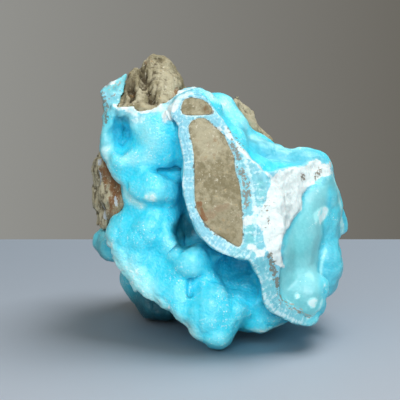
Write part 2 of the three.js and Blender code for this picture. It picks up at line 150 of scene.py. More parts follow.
class Sculpture:
    """A closed mesh that is remeshed, smoothed, pushed out and marked as a whole."""

    STEPS = 100  # How many steps of weight a vertex group has.
    LIFT = 0.25  # How far off the surface a point looks round from, in millimetres.
    LEAN = 1.02  # How far its ways are turned outwards; over 1, so that none leads into the surface.
    FADE = 0.6  # How much less a hit at full reach counts than one close by.
    LOOK_SEED = 3  # Start of the random ways.

    def __init__(self, piece: bpy.types.Object) -> None:
        """Takes up a piece.

        Args:
            piece: The object to work on.
        """
        self.piece = piece

    @classmethod
    def of_node(cls, node: str, name: str) -> Sculpture:
        """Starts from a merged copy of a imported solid.

        Args:
            node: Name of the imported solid.
            name: Name of the new piece.

        Returns:
            The new sculpture.
        """
        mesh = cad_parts[node].data.copy()
        mesh.materials.clear()
        piece = bpy.data.objects.new(name, mesh)
        bpy.context.scene.collection.objects.link(piece)
        made = cls(piece)
        made.activate()
        bpy.ops.object.mode_set(mode="EDIT")
        bpy.ops.mesh.select_all(action="SELECT")
        bpy.ops.mesh.remove_doubles(threshold=MERGE * MM)
        bpy.ops.object.mode_set(mode="OBJECT")
        return made

    @property
    def mesh(self) -> bpy.types.Mesh:
        """The piece's mesh."""
        return self.piece.data

    def activate(self) -> None:
        """Makes the piece the only selected and the active object."""
        deselect()
        self.piece.select_set(True)
        bpy.context.view_layer.objects.active = self.piece

    def modify(self, kind: str, **settings: object) -> None:
        """Adds a modifier and applies it.

        Args:
            kind: Type of modifier.
            **settings: Its settings by name.
        """
        self.activate()
        bpy.ops.object.modifier_add(type=kind)
        modifier = self.piece.modifiers[-1]
        for key, value in settings.items():
            setattr(modifier, key, value)
        bpy.ops.object.modifier_apply(modifier=modifier.name)

    def remesh(self, voxel: float) -> None:
        """Makes the surface anew from even small faces.

        Args:
            voxel: Size of a face in millimetres.
        """
        self.modify("REMESH", mode="VOXEL", voxel_size=voxel * MM, use_smooth_shade=True)

    def smooth(self, rounds: int, weights: np.ndarray) -> None:
        """Rounds the surface off.

        Args:
            rounds: How many times each point moves towards its neighbours.
            weights: How far each point takes part, from 0 to 1.
        """
        self.modify("SMOOTH", factor=0.5, iterations=rounds, vertex_group=self.group("rounded", weights))

    def group(self, name: str, weights: np.ndarray) -> str:
        """Writes a vertex group in even steps of weight.

        Args:
            name: Name of the group; one of that name is replaced.
            weights: A weight for each point.

        Returns:
            The group's name.
        """
        old = self.piece.vertex_groups.get(name)
        if old is not None:
            self.piece.vertex_groups.remove(old)
        group = self.piece.vertex_groups.new(name=name)
        steps = np.round(np.clip(weights, 0, 1) * self.STEPS).astype(int)
        for step in np.unique(steps[steps > 0]):
            group.add(np.flatnonzero(steps == step).tolist(), step / self.STEPS, "REPLACE")
        return name

    def roughen(self, spacing: float, height: float, level: float, octaves: int, weights: np.ndarray) -> None:
        """Pushes the surface out and in by cloudy noise.

        Args:
            spacing: Distance between its lumps in millimetres.
            height: From its lowest to its highest in millimetres.
            level: Which height of the noise leaves the surface where it is.
            octaves: How many finer layers it has.
            weights: How far each point takes part.
        """
        clouds = bpy.data.textures.new(f"{self.piece.name}_{spacing}", "CLOUDS")
        clouds.noise_scale, clouds.noise_depth = spacing * MM, octaves
        self.modify("DISPLACE", texture=clouds, texture_coords="LOCAL", strength=height * MM, mid_level=level,
                    vertex_group=self.group("roughened", weights))

    def chips(self, spacing: float, rise: float, tilt: float, seed: int) -> np.ndarray:
        """Heights of the flat chips that a rock breaks into.

        Args:
            spacing: Distance between their middles, in millimetres.
            rise: How far they stand above and below each other.
            tilt: How steeply they lie.
            seed: Start of their random places.

        Returns:
            The height at each point, in millimetres.
        """
        points = self.points
        random = np.random.RandomState(seed)
        cells = np.unique(np.floor(points / (spacing * MM)).astype(int), axis=0)
        middles = (cells + random.uniform(0, 1, cells.shape)) * spacing * MM
        rises, tilts = random.uniform(-rise, rise, len(cells)), random.uniform(-tilt, tilt, cells.shape)
        tree = search_tree(middles)
        nearest = np.array([tree.find(place)[1] for place in points])
        return rises[nearest] + np.einsum("ij,ij->i", (points - middles[nearest]) / MM, tilts[nearest])

    def raise_by(self, heights: np.ndarray) -> None:
        """Moves the surface outwards, or inwards where the height is negative.

        Args:
            heights: How far each point moves, in millimetres.
        """
        for way in (1, -1):
            most = float(np.max(way * heights))
            if most > 0:
                group = self.group("raised", np.clip(way * heights / most, 0, 1))
                self.modify("DISPLACE", strength=way * most * MM, mid_level=0.0, vertex_group=group)

    @property
    def points(self) -> np.ndarray:
        """Where each point is, in metres."""
        return vectors(self.mesh.vertices, "co")

    @points.setter
    def points(self, places: np.ndarray) -> None:
        """Moves each point."""
        self.mesh.vertices.foreach_set("co", places.astype(np.float32).ravel())
        self.mesh.update()

    def stand(self) -> None:
        """Brings up to the table what has gone through it."""
        points = self.points
        points[:, 2] = np.maximum(points[:, 2], 0)
        self.points = points

    @property
    def normals(self) -> np.ndarray:
        """Which way the surface faces at each point."""
        return vectors(self.mesh.vertex_normals, "vector")

    def evened(self, values: np.ndarray, rounds: int) -> np.ndarray:
        """Averages values over the surface.

        Args:
            values: One row for each point.
            rounds: How many times each point takes the mean of its neighbours.

        Returns:
            The averaged values.
        """
        ends = np.empty(len(self.mesh.edges) * 2, np.int32)
        self.mesh.edges.foreach_get("vertices", ends)
        a, b = ends.reshape(-1, 2).T
        count = len(self.mesh.vertices)
        shares = np.maximum(np.bincount(a, minlength=count) + np.bincount(b, minlength=count), 1)
        columns = values.reshape(count, -1).T.copy()
        for _ in range(rounds):
            for column in columns:
                total = np.bincount(a, column[b], count) + np.bincount(b, column[a], count)
                column[:] = 0.5 * column + 0.5 * total / shares
        return columns.T.reshape(values.shape)

    def swelling(self, rounds: int) -> np.ndarray:
        """How far each point stands out of its surroundings.

        Args:
            rounds: How wide the surroundings are.

        Returns:
            Distances in millimetres, positive on crests and negative in creases.
        """
        places = self.points
        return np.einsum("ij,ij->i", places - self.evened(places, rounds), self.normals) / MM

    def sheltered(self, around: list[BVHTree], shown: np.ndarray, rays: int = 10,
                  reach: float = 22.0) -> np.ndarray:
        """How closed in each point is.

        Args:
            around: What else stands in the way of the light.
            shown: Which points are worked out; the rest count as open.
            rays: How many ways each point looks.
            reach: How far it looks, in millimetres.

        Returns:
            0 in the open to 1 deep in a hollow.
        """
        trees = [self.tree(), *around]
        random = np.random.RandomState(self.LOOK_SEED)
        closed = np.zeros(len(shown))
        places, facing = self.points, self.normals
        for i in np.flatnonzero(shown):
            start = Vector(places[i] + facing[i] * self.LIFT * MM)
            ways = random.normal(size=(rays, 3))
            ways = ways / np.linalg.norm(ways, axis=1)[:, None] + facing[i] * self.LEAN
            for way in ways:
                hits = [tree.ray_cast(start, Vector(way), reach * MM)[3] for tree in trees]
                near = min((hit for hit in hits if hit is not None), default=None)
                if near is not None:
                    closed[i] += 1 - self.FADE * near / (reach * MM)
        return self.evened(closed / rays, rounds=5)

    def mark(self, name: Mark, values: np.ndarray) -> None:
        """Writes a value on each point for the finish to read.

        Args:
            name: The attribute's name.
            values: One number or one vector for each point.
        """
        is_vector = values.ndim > 1
        kind = "FLOAT_VECTOR" if is_vector else "FLOAT"
        attribute = self.mesh.attributes.new(name.value, kind, "POINT")
        attribute.data.foreach_set("vector" if is_vector else "value", values.astype(np.float32).ravel())

    def tree(self, faces: np.ndarray | None = None) -> BVHTree:
        """A search tree of the piece's faces.

        Args:
            faces: Numbers of the faces in it; all of them if left out.

        Returns:
            The tree.
        """
        loops = [tuple(face.vertices) for face in self.mesh.polygons]
        chosen = loops if faces is None else [loops[i] for i in faces]
        return BVHTree.FromPolygons([Vector(place) for place in self.points], chosen)

    def finish(self, material: bpy.types.Material, node: str, slot: str) -> bpy.types.Object:
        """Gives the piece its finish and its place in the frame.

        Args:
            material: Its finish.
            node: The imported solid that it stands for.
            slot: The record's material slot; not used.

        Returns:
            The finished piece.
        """
        self.piece.vertex_groups.clear()
        self.mesh.materials.clear()
        self.mesh.materials.append(material)
        self.activate()
        bpy.ops.object.shade_smooth()
        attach(self.piece, BODY)
        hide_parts(node)
        LOG.info("%s: %d points for %s", self.piece.name, len(self.mesh.vertices), node)
        return self.piece


def nearness(points: np.ndarray, tree: BVHTree) -> np.ndarray:
    """Distance from each point to the faces of a tree.

    Args:
        points: Places in metres.
        tree: The faces.

    Returns:
        Distances in millimetres.
    """
    return np.array([tree.find_nearest(Vector(place))[3] for place in points]) / MM


# ---- Where things are on the specimen ---------------------------------------------------------


def nearest_on(path: Path, places: np.ndarray) -> tuple[np.ndarray, np.ndarray]:
    """Nearest place on a path to each of several places, all in millimetres.

    Args:
        path: Its corners.
        places: The places, along as many axes as the corners.

    Returns:
        The nearest places, and how far away they are.
    """
    corners = np.array(path, float)
    best, least = np.zeros_like(places), np.full(len(places), np.inf)
    for start, end in zip(corners, corners[1:] if len(corners) > 1 else corners):
        along = end - start
        share = np.clip((places - start) @ along / max(along @ along, TINY), 0, 1)[:, None]
        foot = start + share * along
        away = np.linalg.norm(places - foot, axis=1)
        closer = away < least
        best[closer], least[closer] = foot[closer], away[closer]
    return best, least


@dataclass(frozen=True)
class Break:
    """A plane that the specimen was broken along.

    Attributes:
        at: A point in it, in millimetres.
        normal: The way that its face looks.
    """

    at: Point
    normal: Point

    def height(self, points: np.ndarray) -> np.ndarray:
        """How far points lie in front of the plane, in millimetres."""
        normal = np.array(self.normal) / np.linalg.norm(self.normal)
        return (points / MM - np.array(self.at)) @ normal

    def faces(self, directions: np.ndarray, least: float = 0.985) -> np.ndarray:
        """Which directions look the way that the plane's face does."""
        return directions @ (np.array(self.normal) / np.linalg.norm(self.normal)) > least


@dataclass(frozen=True)
class Band:
    """A soft band along a path: the zone of a colour, or of a relief.

    Attributes:
        path: The points that it follows, in millimetres, or their x and z alone where depth is left out.
        width: How far it reaches to each side.
        soft: Over what share of that reach it fades.
        most: How strong it is along its middle, or how high or deep in millimetres.
    """

    path: Path
    width: float
    soft: float = 0.6
    most: float = 1.0

    def strength(self, points: np.ndarray) -> np.ndarray:
        """How much of the band there is at points.

        Args:
            points: Places in metres.

        Returns:
            Numbers from 0 to its most.
        """
        axes = [0, 2] if len(self.path[0]) == 2 else [0, 1, 2]
        _, away = nearest_on(self.path, points[:, axes] / MM)
        return smoothstep(self.width, self.width * (1 - self.soft), away) * self.most


@dataclass(frozen=True)
class Patch:
    """A soft-edged area of the front.

    Attributes:
        outline: Its corners in x and z, in millimetres.
        soft: Over how many millimetres its edge fades.
    """

    outline: tuple[Flat, ...]
    soft: float = 1.0

    def strength(self, points: np.ndarray) -> np.ndarray:
        """How much of the patch there is at points.

        Args:
            points: Places in metres.

        Returns:
            Numbers from 0 to 1.
        """
        x, z = points[:, 0] / MM, points[:, 2] / MM
        inside, least = np.zeros(len(x), bool), np.full(len(x), np.inf)
        for (x0, z0), (x1, z1) in zip(self.outline, (*self.outline[1:], self.outline[0])):
            along = np.array([x1 - x0, z1 - z0])
            share = np.clip(((x - x0) * along[0] + (z - z0) * along[1]) / max(along @ along, TINY), 0, 1)
            least = np.minimum(least, np.hypot(x - x0 - share * along[0], z - z0 - share * along[1]))
            if z0 != z1:
                inside ^= ((z0 > z) != (z1 > z)) & (x < x0 + (z - z0) * along[0] / along[1])
        return smoothstep(-self.soft, self.soft, np.where(inside, least, -least))


Zone = Band | Patch
Zones = tuple[Zone, ...]


def strongest(zones: Zones, points: np.ndarray) -> np.ndarray:
    """The most that any of several zones has at each point."""
    return np.max([zone.strength(points) for zone in zones], axis=0)


# ---- Shader nodes -----------------------------------------------------------------------------


def rgb(code: int) -> Colour:
    """A linear colour from a screen colour.

    Args:
        code: The colour as 0xRRGGBB.

    Returns:
        Red, green and blue as light, from 0 to 1.
    """
    parts = [(code >> shift & 255) / 255 for shift in (16, 8, 0)]
    return tuple(p / 12.92 if p <= 0.04045 else ((p + 0.055) / 1.055) ** 2.4 for p in parts)


class Tone:
    """A number that varies over a surface, for writing shader maths as expressions."""

    def __init__(self, paint: Paint, socket: bpy.types.NodeSocket) -> None:
        """Wraps a socket.

        Args:
            paint: The material that it belongs to.
            socket: The output socket.
        """
        self.paint = paint
        self.socket = socket

    def _maths(self, operation: str, *terms: Tone | float) -> Tone:
        """Adds one Math node over the given terms."""
        sockets = {i: term for i, term in enumerate(terms)}
        return self.paint.node("ShaderNodeMath", {"operation": operation}, sockets)

    def __add__(self, other: Tone | float) -> Tone:
        """Sum."""
        return self._maths("ADD", self, other)

    __radd__ = __add__

    def __mul__(self, other: Tone | float) -> Tone:
        """Product."""
        return self._maths("MULTIPLY", self, other)

    __rmul__ = __mul__

    def __sub__(self, other: Tone | float) -> Tone:
        """Difference."""
        return self._maths("SUBTRACT", self, other)

    def __rsub__(self, other: float) -> Tone:
        """Difference from a number."""
        return self._maths("SUBTRACT", other, self)

    def sine(self) -> Tone:
        """Sine."""
        return self._maths("SINE", self)

    def above(self, other: Tone | float) -> Tone:
        """The greater of the two."""
        return self._maths("MAXIMUM", self, other)

    def step(self, low: float, high: float) -> Tone:
        """A soft step.

        Args:
            low: Where it is 0.
            high: Where it is 1; less than `low` for a step down.

        Returns:
            The stepped tone.
        """
        if low > high:
            return 1 - self.step(high, low)
        settings = {"interpolation_type": "SMOOTHSTEP"}
        return self.paint.node("ShaderNodeMapRange", settings, {"Value": self, "From Min": low, "From Max": high})


class Paint:
    """A material under construction."""

    def __init__(self, name: str) -> None:
        """Starts an empty material.

        Args:
            name: Its name.
        """
        self.material = bpy.data.materials.new(name)
        self.material.use_nodes = True
        self.nodes = self.material.node_tree.nodes
        self.links = self.material.node_tree.links
        self.shader = self.nodes["Principled BSDF"]
        self.place = self.socket("ShaderNodeTexCoord", {}, {}, "Object")

    def socket(self, kind: str, settings: dict[str, object], values: dict[object, object],
               output: str | int = 0) -> bpy.types.NodeSocket:
        """Adds a node.

        Args:
            kind: Type of node.
            settings: Its settings, which are made first.
            values: Number, colour, tone or socket for each of its inputs, by name or number.
            output: Which output is wanted.

        Returns:
            That output.
        """
        node = self.nodes.new(kind)
        for key, value in settings.items():
            setattr(node, key, value)
        for key, value in values.items():
            self.feed(node.inputs[key], value)
        return node.outputs[output]

    def node(self, kind: str, settings: dict[str, object], values: dict[object, object],
             output: str | int = 0) -> Tone:
        """Adds a node whose output is a number, and wraps it. The arguments are those of `socket`."""
        return Tone(self, self.socket(kind, settings, values, output))

    def feed(self, entry: bpy.types.NodeSocket, value: object) -> None:
        """Links or sets one input.

        Args:
            entry: The input.
            value: What goes into it.
        """
        if isinstance(value, Tone):
            self.links.new(value.socket, entry)
        elif isinstance(value, bpy.types.NodeSocket):
            self.links.new(value, entry)
        elif isinstance(value, tuple) and len(value) == 3 and entry.type == "RGBA":
            entry.default_value = (*value, 1.0)
        else:
            entry.default_value = value

    def read_all(self, *marks: Mark) -> list[Tone]:
        """Reads numbers that are marked on the points."""
        return [self.node("ShaderNodeAttribute", {"attribute_name": mark.value}, {}, "Fac") for mark in marks]

    def grain(self, spacing: float, detail: float = 3.0, rough: float = 0.55,
              at: bpy.types.NodeSocket | None = None) -> Tone:
        """Noise from 0 to 1.

        Args:
            spacing: Distance between its lumps in millimetres.
            detail: How many finer octaves it has.
            rough: How strong those are.
            at: Where it is read, or the piece's own space if left out.

        Returns:
            The noise.
        """
        values = {"Vector": at or self.place, "Scale": 1 / (spacing * MM), "Detail": detail, "Roughness": rough}
        return self.node("ShaderNodeTexNoise", {}, values, "Fac")

    def cells(self, spacing: float) -> Tone:
        """Distance from the middles of cells, in cell sizes. The spacing is in millimetres."""
        return self.node("ShaderNodeTexVoronoi", {}, {"Vector": self.place, "Scale": 1 / (spacing * MM)}, "Distance")

    def stretched(self, source: bpy.types.NodeSocket, by: Point) -> bpy.types.NodeSocket:
        """Scales a place along its axes."""
        settings = {"operation": "MULTIPLY"}
        return self.socket("ShaderNodeVectorMath", settings, {0: source, 1: by}, "Vector")

    def mix(self, share: Tone | float, a: object, b: object) -> bpy.types.NodeSocket:
        """Mixes two colours.

        Args:
            share: 0 for the first, 1 for the second.
            a: The first colour.
            b: The second colour.

        Returns:
            The mixed colour.
        """
        return self.socket("ShaderNodeMix", {"data_type": "RGBA"}, {0: share, 6: a, 7: b}, 2)

    def layered(self, base: object, *layers: tuple[Tone, object]) -> bpy.types.NodeSocket:
        """Lays colours over one another.

        Args:
            base: The lowest colour.
            *layers: How much of each further colour shows, and that colour, from the lowest to the top.

        Returns:
            What is seen of them all.
        """
        for share, colour in layers:
            base = self.mix(share, base, colour)
        return base

    def bump(self, height: Tone, rise: float, strength: float = 1.0) -> None:
        """Gives the surface a relief.

        Args:
            height: The relief from 0 to 1.
            rise: How high that is in millimetres.
            strength: How much of it shows.
        """
        values = {"Height": height, "Distance": rise * MM, "Strength": strength}
        self.feed(self.shader.inputs["Normal"], self.socket("ShaderNodeBump", {}, values, "Normal"))

    def set(self, **values: object) -> bpy.types.Material:
        """Feeds the shader.

        Args:
            **values: Its inputs, with underscores for spaces.

        Returns:
            The finished material.
        """
        for key, value in values.items():
            self.feed(self.shader.inputs[key.replace("_", " ")], value)
        return self.material


# ---- Finishes ---------------------------------------------------------------------------------


@dataclass(frozen=True)
class HemimorphiteFinish:
    """Frosted sky-blue crust: pale on its crests from frost and painted highlight, deepened by painted shade in its
    hollows, white where it is thick and broken.

    Attributes:
        crest, body, shade, deep, foot: The grown surface, from its crests to its darkest hollows; crest is partly
            painted highlight, and shade, deep and foot are painted shade.
        teal, sea: The two tints of the sea-green part.
        frost, pale: Crystals that have caught the light; pale is also painted highlight where the pale zones mark lit
            faces.
        rim, rim_line: The broken section and the layers in it.
        white, chalk: The thick white part and its streaks.
        stain, beige: Dirt in the breaks.
        layer_step: Distance between two layers in millimetres.
        rim_width: How thick the crust is where it is broken through.
    """

    crest: Colour = rgb(0x74E2F2)
    body: Colour = rgb(0x2CD6F1)
    shade: Colour = rgb(0x1CBEDE)
    deep: Colour = rgb(0x0C96B2)
    foot: Colour = rgb(0x0A5060)
    teal: Colour = rgb(0x6CC4CC)
    sea: Colour = rgb(0x80CBD3)
    frost: Colour = rgb(0xE0F8FA)
    pale: Colour = rgb(0xAEF2F6)
    rim: Colour = rgb(0x80C8DA)
    rim_line: Colour = rgb(0x58AAC2)
    white: Colour = rgb(0xDAE8E8)
    chalk: Colour = rgb(0xA6C2C6)
    stain: Colour = rgb(0x6E604A)
    beige: Colour = rgb(0xADA899)
    layer_step: float = 1.15
    rim_width: float = 4.4

    def material(self) -> bpy.types.Material:
        """Builds the finish.

        Returns:
            The material.
        """
        paint = Paint("hemimorphite")
        hollow, crest, pale, dark = paint.read_all(Mark.HOLLOW, Mark.CREST, Mark.PALE, Mark.DARK)
        broken, white, teal, brown, layer = paint.read_all(Mark.BROKEN, Mark.WHITE, Mark.TEAL, Mark.BROWN, Mark.LAYER)
        root = paint.socket("ShaderNodeAttribute", {"attribute_name": Mark.ROOT.value}, {}, "Vector")
        patch, mottle, fine = paint.grain(9.0), paint.grain(3.2), paint.grain(0.9)

        # The grown surface: from the body colour to crests, hollows, frost and loose specks, with painted highlight on
        # crests and painted shade in hollows and creases.
        clusters = (paint.grain(6.0) + crest * 0.12 + pale * 0.1 - teal * 0.1).step(0.5, 0.66)
        dust = paint.grain(0.75, 2.0).step(0.56, 0.68) * 0.6
        specks = dust.above(paint.cells(1.6).step(0.21, 0.08)) * clusters * (1 - hollow.step(0.35, 0.8))
        growth = paint.layered(
            self.body,
            # Lighter on crests: partly frost, partly painted highlight.
            ((crest * 0.6 + patch * 0.6 + mottle * 0.3).step(0.42, 1.35), self.crest),
            # Painted shade in hollows.
            ((hollow + (mottle - 0.5) * 0.3).step(0.2, 0.8) * 0.9, self.shade),
            # Painted shade in creases.
            ((0.1 - crest * 0.9).step(0.1, 0.9) * 0.7, self.shade),
            # Painted shade, deepest in the darkest hollows.
            (hollow.step(0.6, 1.1), self.deep),
            (teal, paint.mix(patch.step(0.3, 0.7), self.teal, self.sea)),
            # Pale zones: frost and pale rims, and painted highlight where they mark lit faces.
            ((pale * 0.9 + (mottle - 0.5) * 0.6).step(0.05, 0.95) * 0.9, self.pale),
            ((pale + (mottle - 0.5) * 3.0 + (fine - 0.5) * 2.0).step(1.05, 1.35) * 0.8, self.frost),
            ((fine * 0.7 + mottle * 0.3).step(0.44, 0.6) * 0.12, self.pale),
            (specks * 0.7, self.frost),
            # Painted shade and shadow from the dark mark, in the foot colour.
            (dark, self.foot),
        )

        # The broken section: its layers, its fibres and its frosted outer edge.
        width, waver = self.rim_width, paint.grain(1.8) * 1.7
        bands = ((layer + waver) * (2 * math.pi / self.layer_step)).sine() * 0.5 + 0.5
        lines = bands * layer.step(width + 2, width + 1) * patch.step(0.36, 0.6)
        fibres = paint.grain(0.9, 2.0, at=root)
        streaks = paint.grain(1.3, 4.0, 0.6, at=paint.stretched(paint.place, (1.0, 1.0, 0.4)))
        outer = layer.step(width - 1.0, width - 0.2) * layer.step(width + 0.9, width + 0.2)
        edge = (outer * (1 - teal * 0.7)).above(layer.step(1.0, 0.5) * 0.7)
        section = paint.layered(
            self.rim,
            ((lines * (teal * 0.25 + 0.5) + mottle * 0.7).step(0.3, 0.9) * 0.75, self.rim_line),
            (teal, paint.mix(mottle.step(0.45, 0.6) * 0.6, self.teal, self.sea)),
            (streaks.step(0.48, 0.62) * (teal * 0.4 + 0.15), self.rim_line),
            ((edge * 0.16 + fibres * 0.34 + mottle * 0.2 + fine * 0.46).step(0.48, 0.64) * 0.6, self.frost),
            ((pale + (mottle - 0.5) * 1.5).step(0.5, 0.9) * 0.6, self.frost),
        )

        # The two together, with the white part and the stains over them.
        chalk = paint.mix(streaks.step(0.5, 0.7) * 0.45, self.white, self.chalk)
        torn_edge = white + (paint.grain(5.5, rough=0.6) - 0.5) * 1.6 + (streaks - 0.5) * 0.5
        dirt = paint.mix(teal.step(0.3, 1.0), self.stain, self.beige)
        bleed = (layer + (mottle - 0.5) * 4.0 + (fine - 0.5) * 2.0).step(0.5, 0.2) * broken
        worn = (brown * 0.8 + (fine * 0.75 + streaks * 0.25 - 0.5) * 3.8).step(0.5, 0.75) * brown.step(0.0, 0.15)
        worn = worn * (1 - teal.step(0.47, 0.54) * bands.step(0.65, 0.35))
        surface = paint.layered(
            growth, (broken, section), (torn_edge.step(0.36, 0.54), chalk), (worn.above(bleed) * 0.8, dirt),
        )

        crystals = paint.cells(0.8) * 0.5 + fine + specks * 0.3
        torn = fibres * 0.6 + streaks + fine * 0.6
        paint.bump(crystals * (1 - broken) * (1 - teal * 0.7) * 0.6 + torn * broken, rise=0.5, strength=0.7)
        rough = 0.42 + (fine - 0.5) * 0.4 + broken * 0.14 - specks * 0.15
        return paint.set(
            Base_Color=surface, Roughness=rough, Subsurface_Weight=0.4, Subsurface_Scale=1.8 * MM,
            Subsurface_Radius=(0.6, 0.9, 1.0), Coat_Weight=0.1, Coat_Roughness=0.3, IOR=1.55,
        )


@dataclass(frozen=True)
class MatrixFinish:
    """Khaki-brown rock with gold and white flecks and orange stains of limonite.

    Attributes:
        name: Name of the material.
        dark, body, light: The rock, from its hollows to its faces; dark is also painted shade in hollows, creases and
            on shaded faces, and light is partly painted highlight on lit faces.
        fleck, gold: Small crystals in it.
        rust: Limonite.
        vein: Pale veins.
    """

    name: str = "matrix_rock"
    dark: Colour = rgb(0x4A412E)
    body: Colour = rgb(0x827A5E)
    light: Colour = rgb(0xACA68C)
    fleck: Colour = rgb(0xDAD6C2)
    gold: Colour = rgb(0xA08650)
    rust: Colour = rgb(0x7C5636)
    vein: Colour = rgb(0xB4BCC0)

    def material(self) -> bpy.types.Material:
        """Builds the finish.

        Returns:
            The material.
        """
        paint = Paint(self.name)
        hollow, crest, shade, groove = paint.read_all(Mark.HOLLOW, Mark.CREST, Mark.DARK, Mark.LAYER)
        brown, white, pale = paint.read_all(Mark.BROWN, Mark.WHITE, Mark.PALE)
        patch, fine = paint.grain(11.0, 4.0, 0.6), paint.grain(0.7, rough=0.65)
        grit = paint.grain(2.2, 5.0, 0.68)
        streak = paint.grain(1.7, 4.0, 0.6, at=paint.stretched(paint.place, (1.0, 1.0, 0.2)))
        flecks = fine.step(0.56, 0.68) * (paint.grain(2.6) + pale * 0.06).step(0.47, 0.6)
        rock = paint.layered(
            self.body,
            # Lighter patches; the pale mark adds painted highlight on lit faces as well.
            ((patch * 0.4 + grit * 0.6 + pale * 0.14).step(0.42, 0.62), self.light),
            # Painted shade from the dark mark.
            ((shade + (grit - 0.5) * 0.8).step(0.25, 0.95) * 0.65, self.dark),
            # Painted shade in hollows.
            ((hollow + (grit - 0.5) * 0.5).step(0.2, 0.75), self.dark),
            # Painted shade in creases.
            ((0.5 - crest * 0.5).step(0.5, 0.9) * 0.7, self.dark),
            (groove * streak.step(0.5, 0.62) * 0.75, self.dark),
            ((brown + (grit + streak - 1) * 2.2).step(0.4, 0.9) * 0.85, self.rust),
            ((patch + grit * 0.4).step(0.8, 0.9) * 0.4, self.rust),
            (grit.step(0.56, 0.66) * fine.step(0.42, 0.56) * 0.5, self.gold),
            ((white + (grit - 0.5) * 1.2 + (fine - 0.5)).step(0.3, 0.5) * white.step(0, 0.2), self.vein),
            (flecks * 0.65, self.fleck),
        )
        paint.bump(grit * 0.5 + fine * 0.5, rise=0.6, strength=0.9)
        return paint.set(Base_Color=rock, Roughness=0.85 - flecks * 0.3, Specular_IOR_Level=0.3)


# ---- The pieces -------------------------------------------------------------------------------

FACE_BREAK = Break(at=(0.8, -26.0, 53.0), normal=(0.0, -0.906, 0.423))
WHITE_BREAK = Break(at=(15.1, -25.0, 56.0), normal=(0.655, -0.676, 0.334))
RIM_BREAK = Break(at=(12.8, -35.6, 28.0), normal=(0.27, -0.963, 0.0))
BREAKS = (FACE_BREAK, WHITE_BREAK, RIM_BREAK)
FLATNESS = 0.15  # How far a face may lie from a break that it belongs to, in millimetres.

# Paths that several zones follow: the top edge at the right, and the crease between two lumps at the foot.
RIDGE = ((9, -3, 65), (18, -4, 60), (33, -8, 58))
CREASE = ((-9.4, -27.5, 22), (-9.7, -29.5, 18))
ROCK, LONG, SMALL, CRUST = "matrix_rock", "matrix_long_clast", "matrix_small_clast", "hemimorphite_crust"


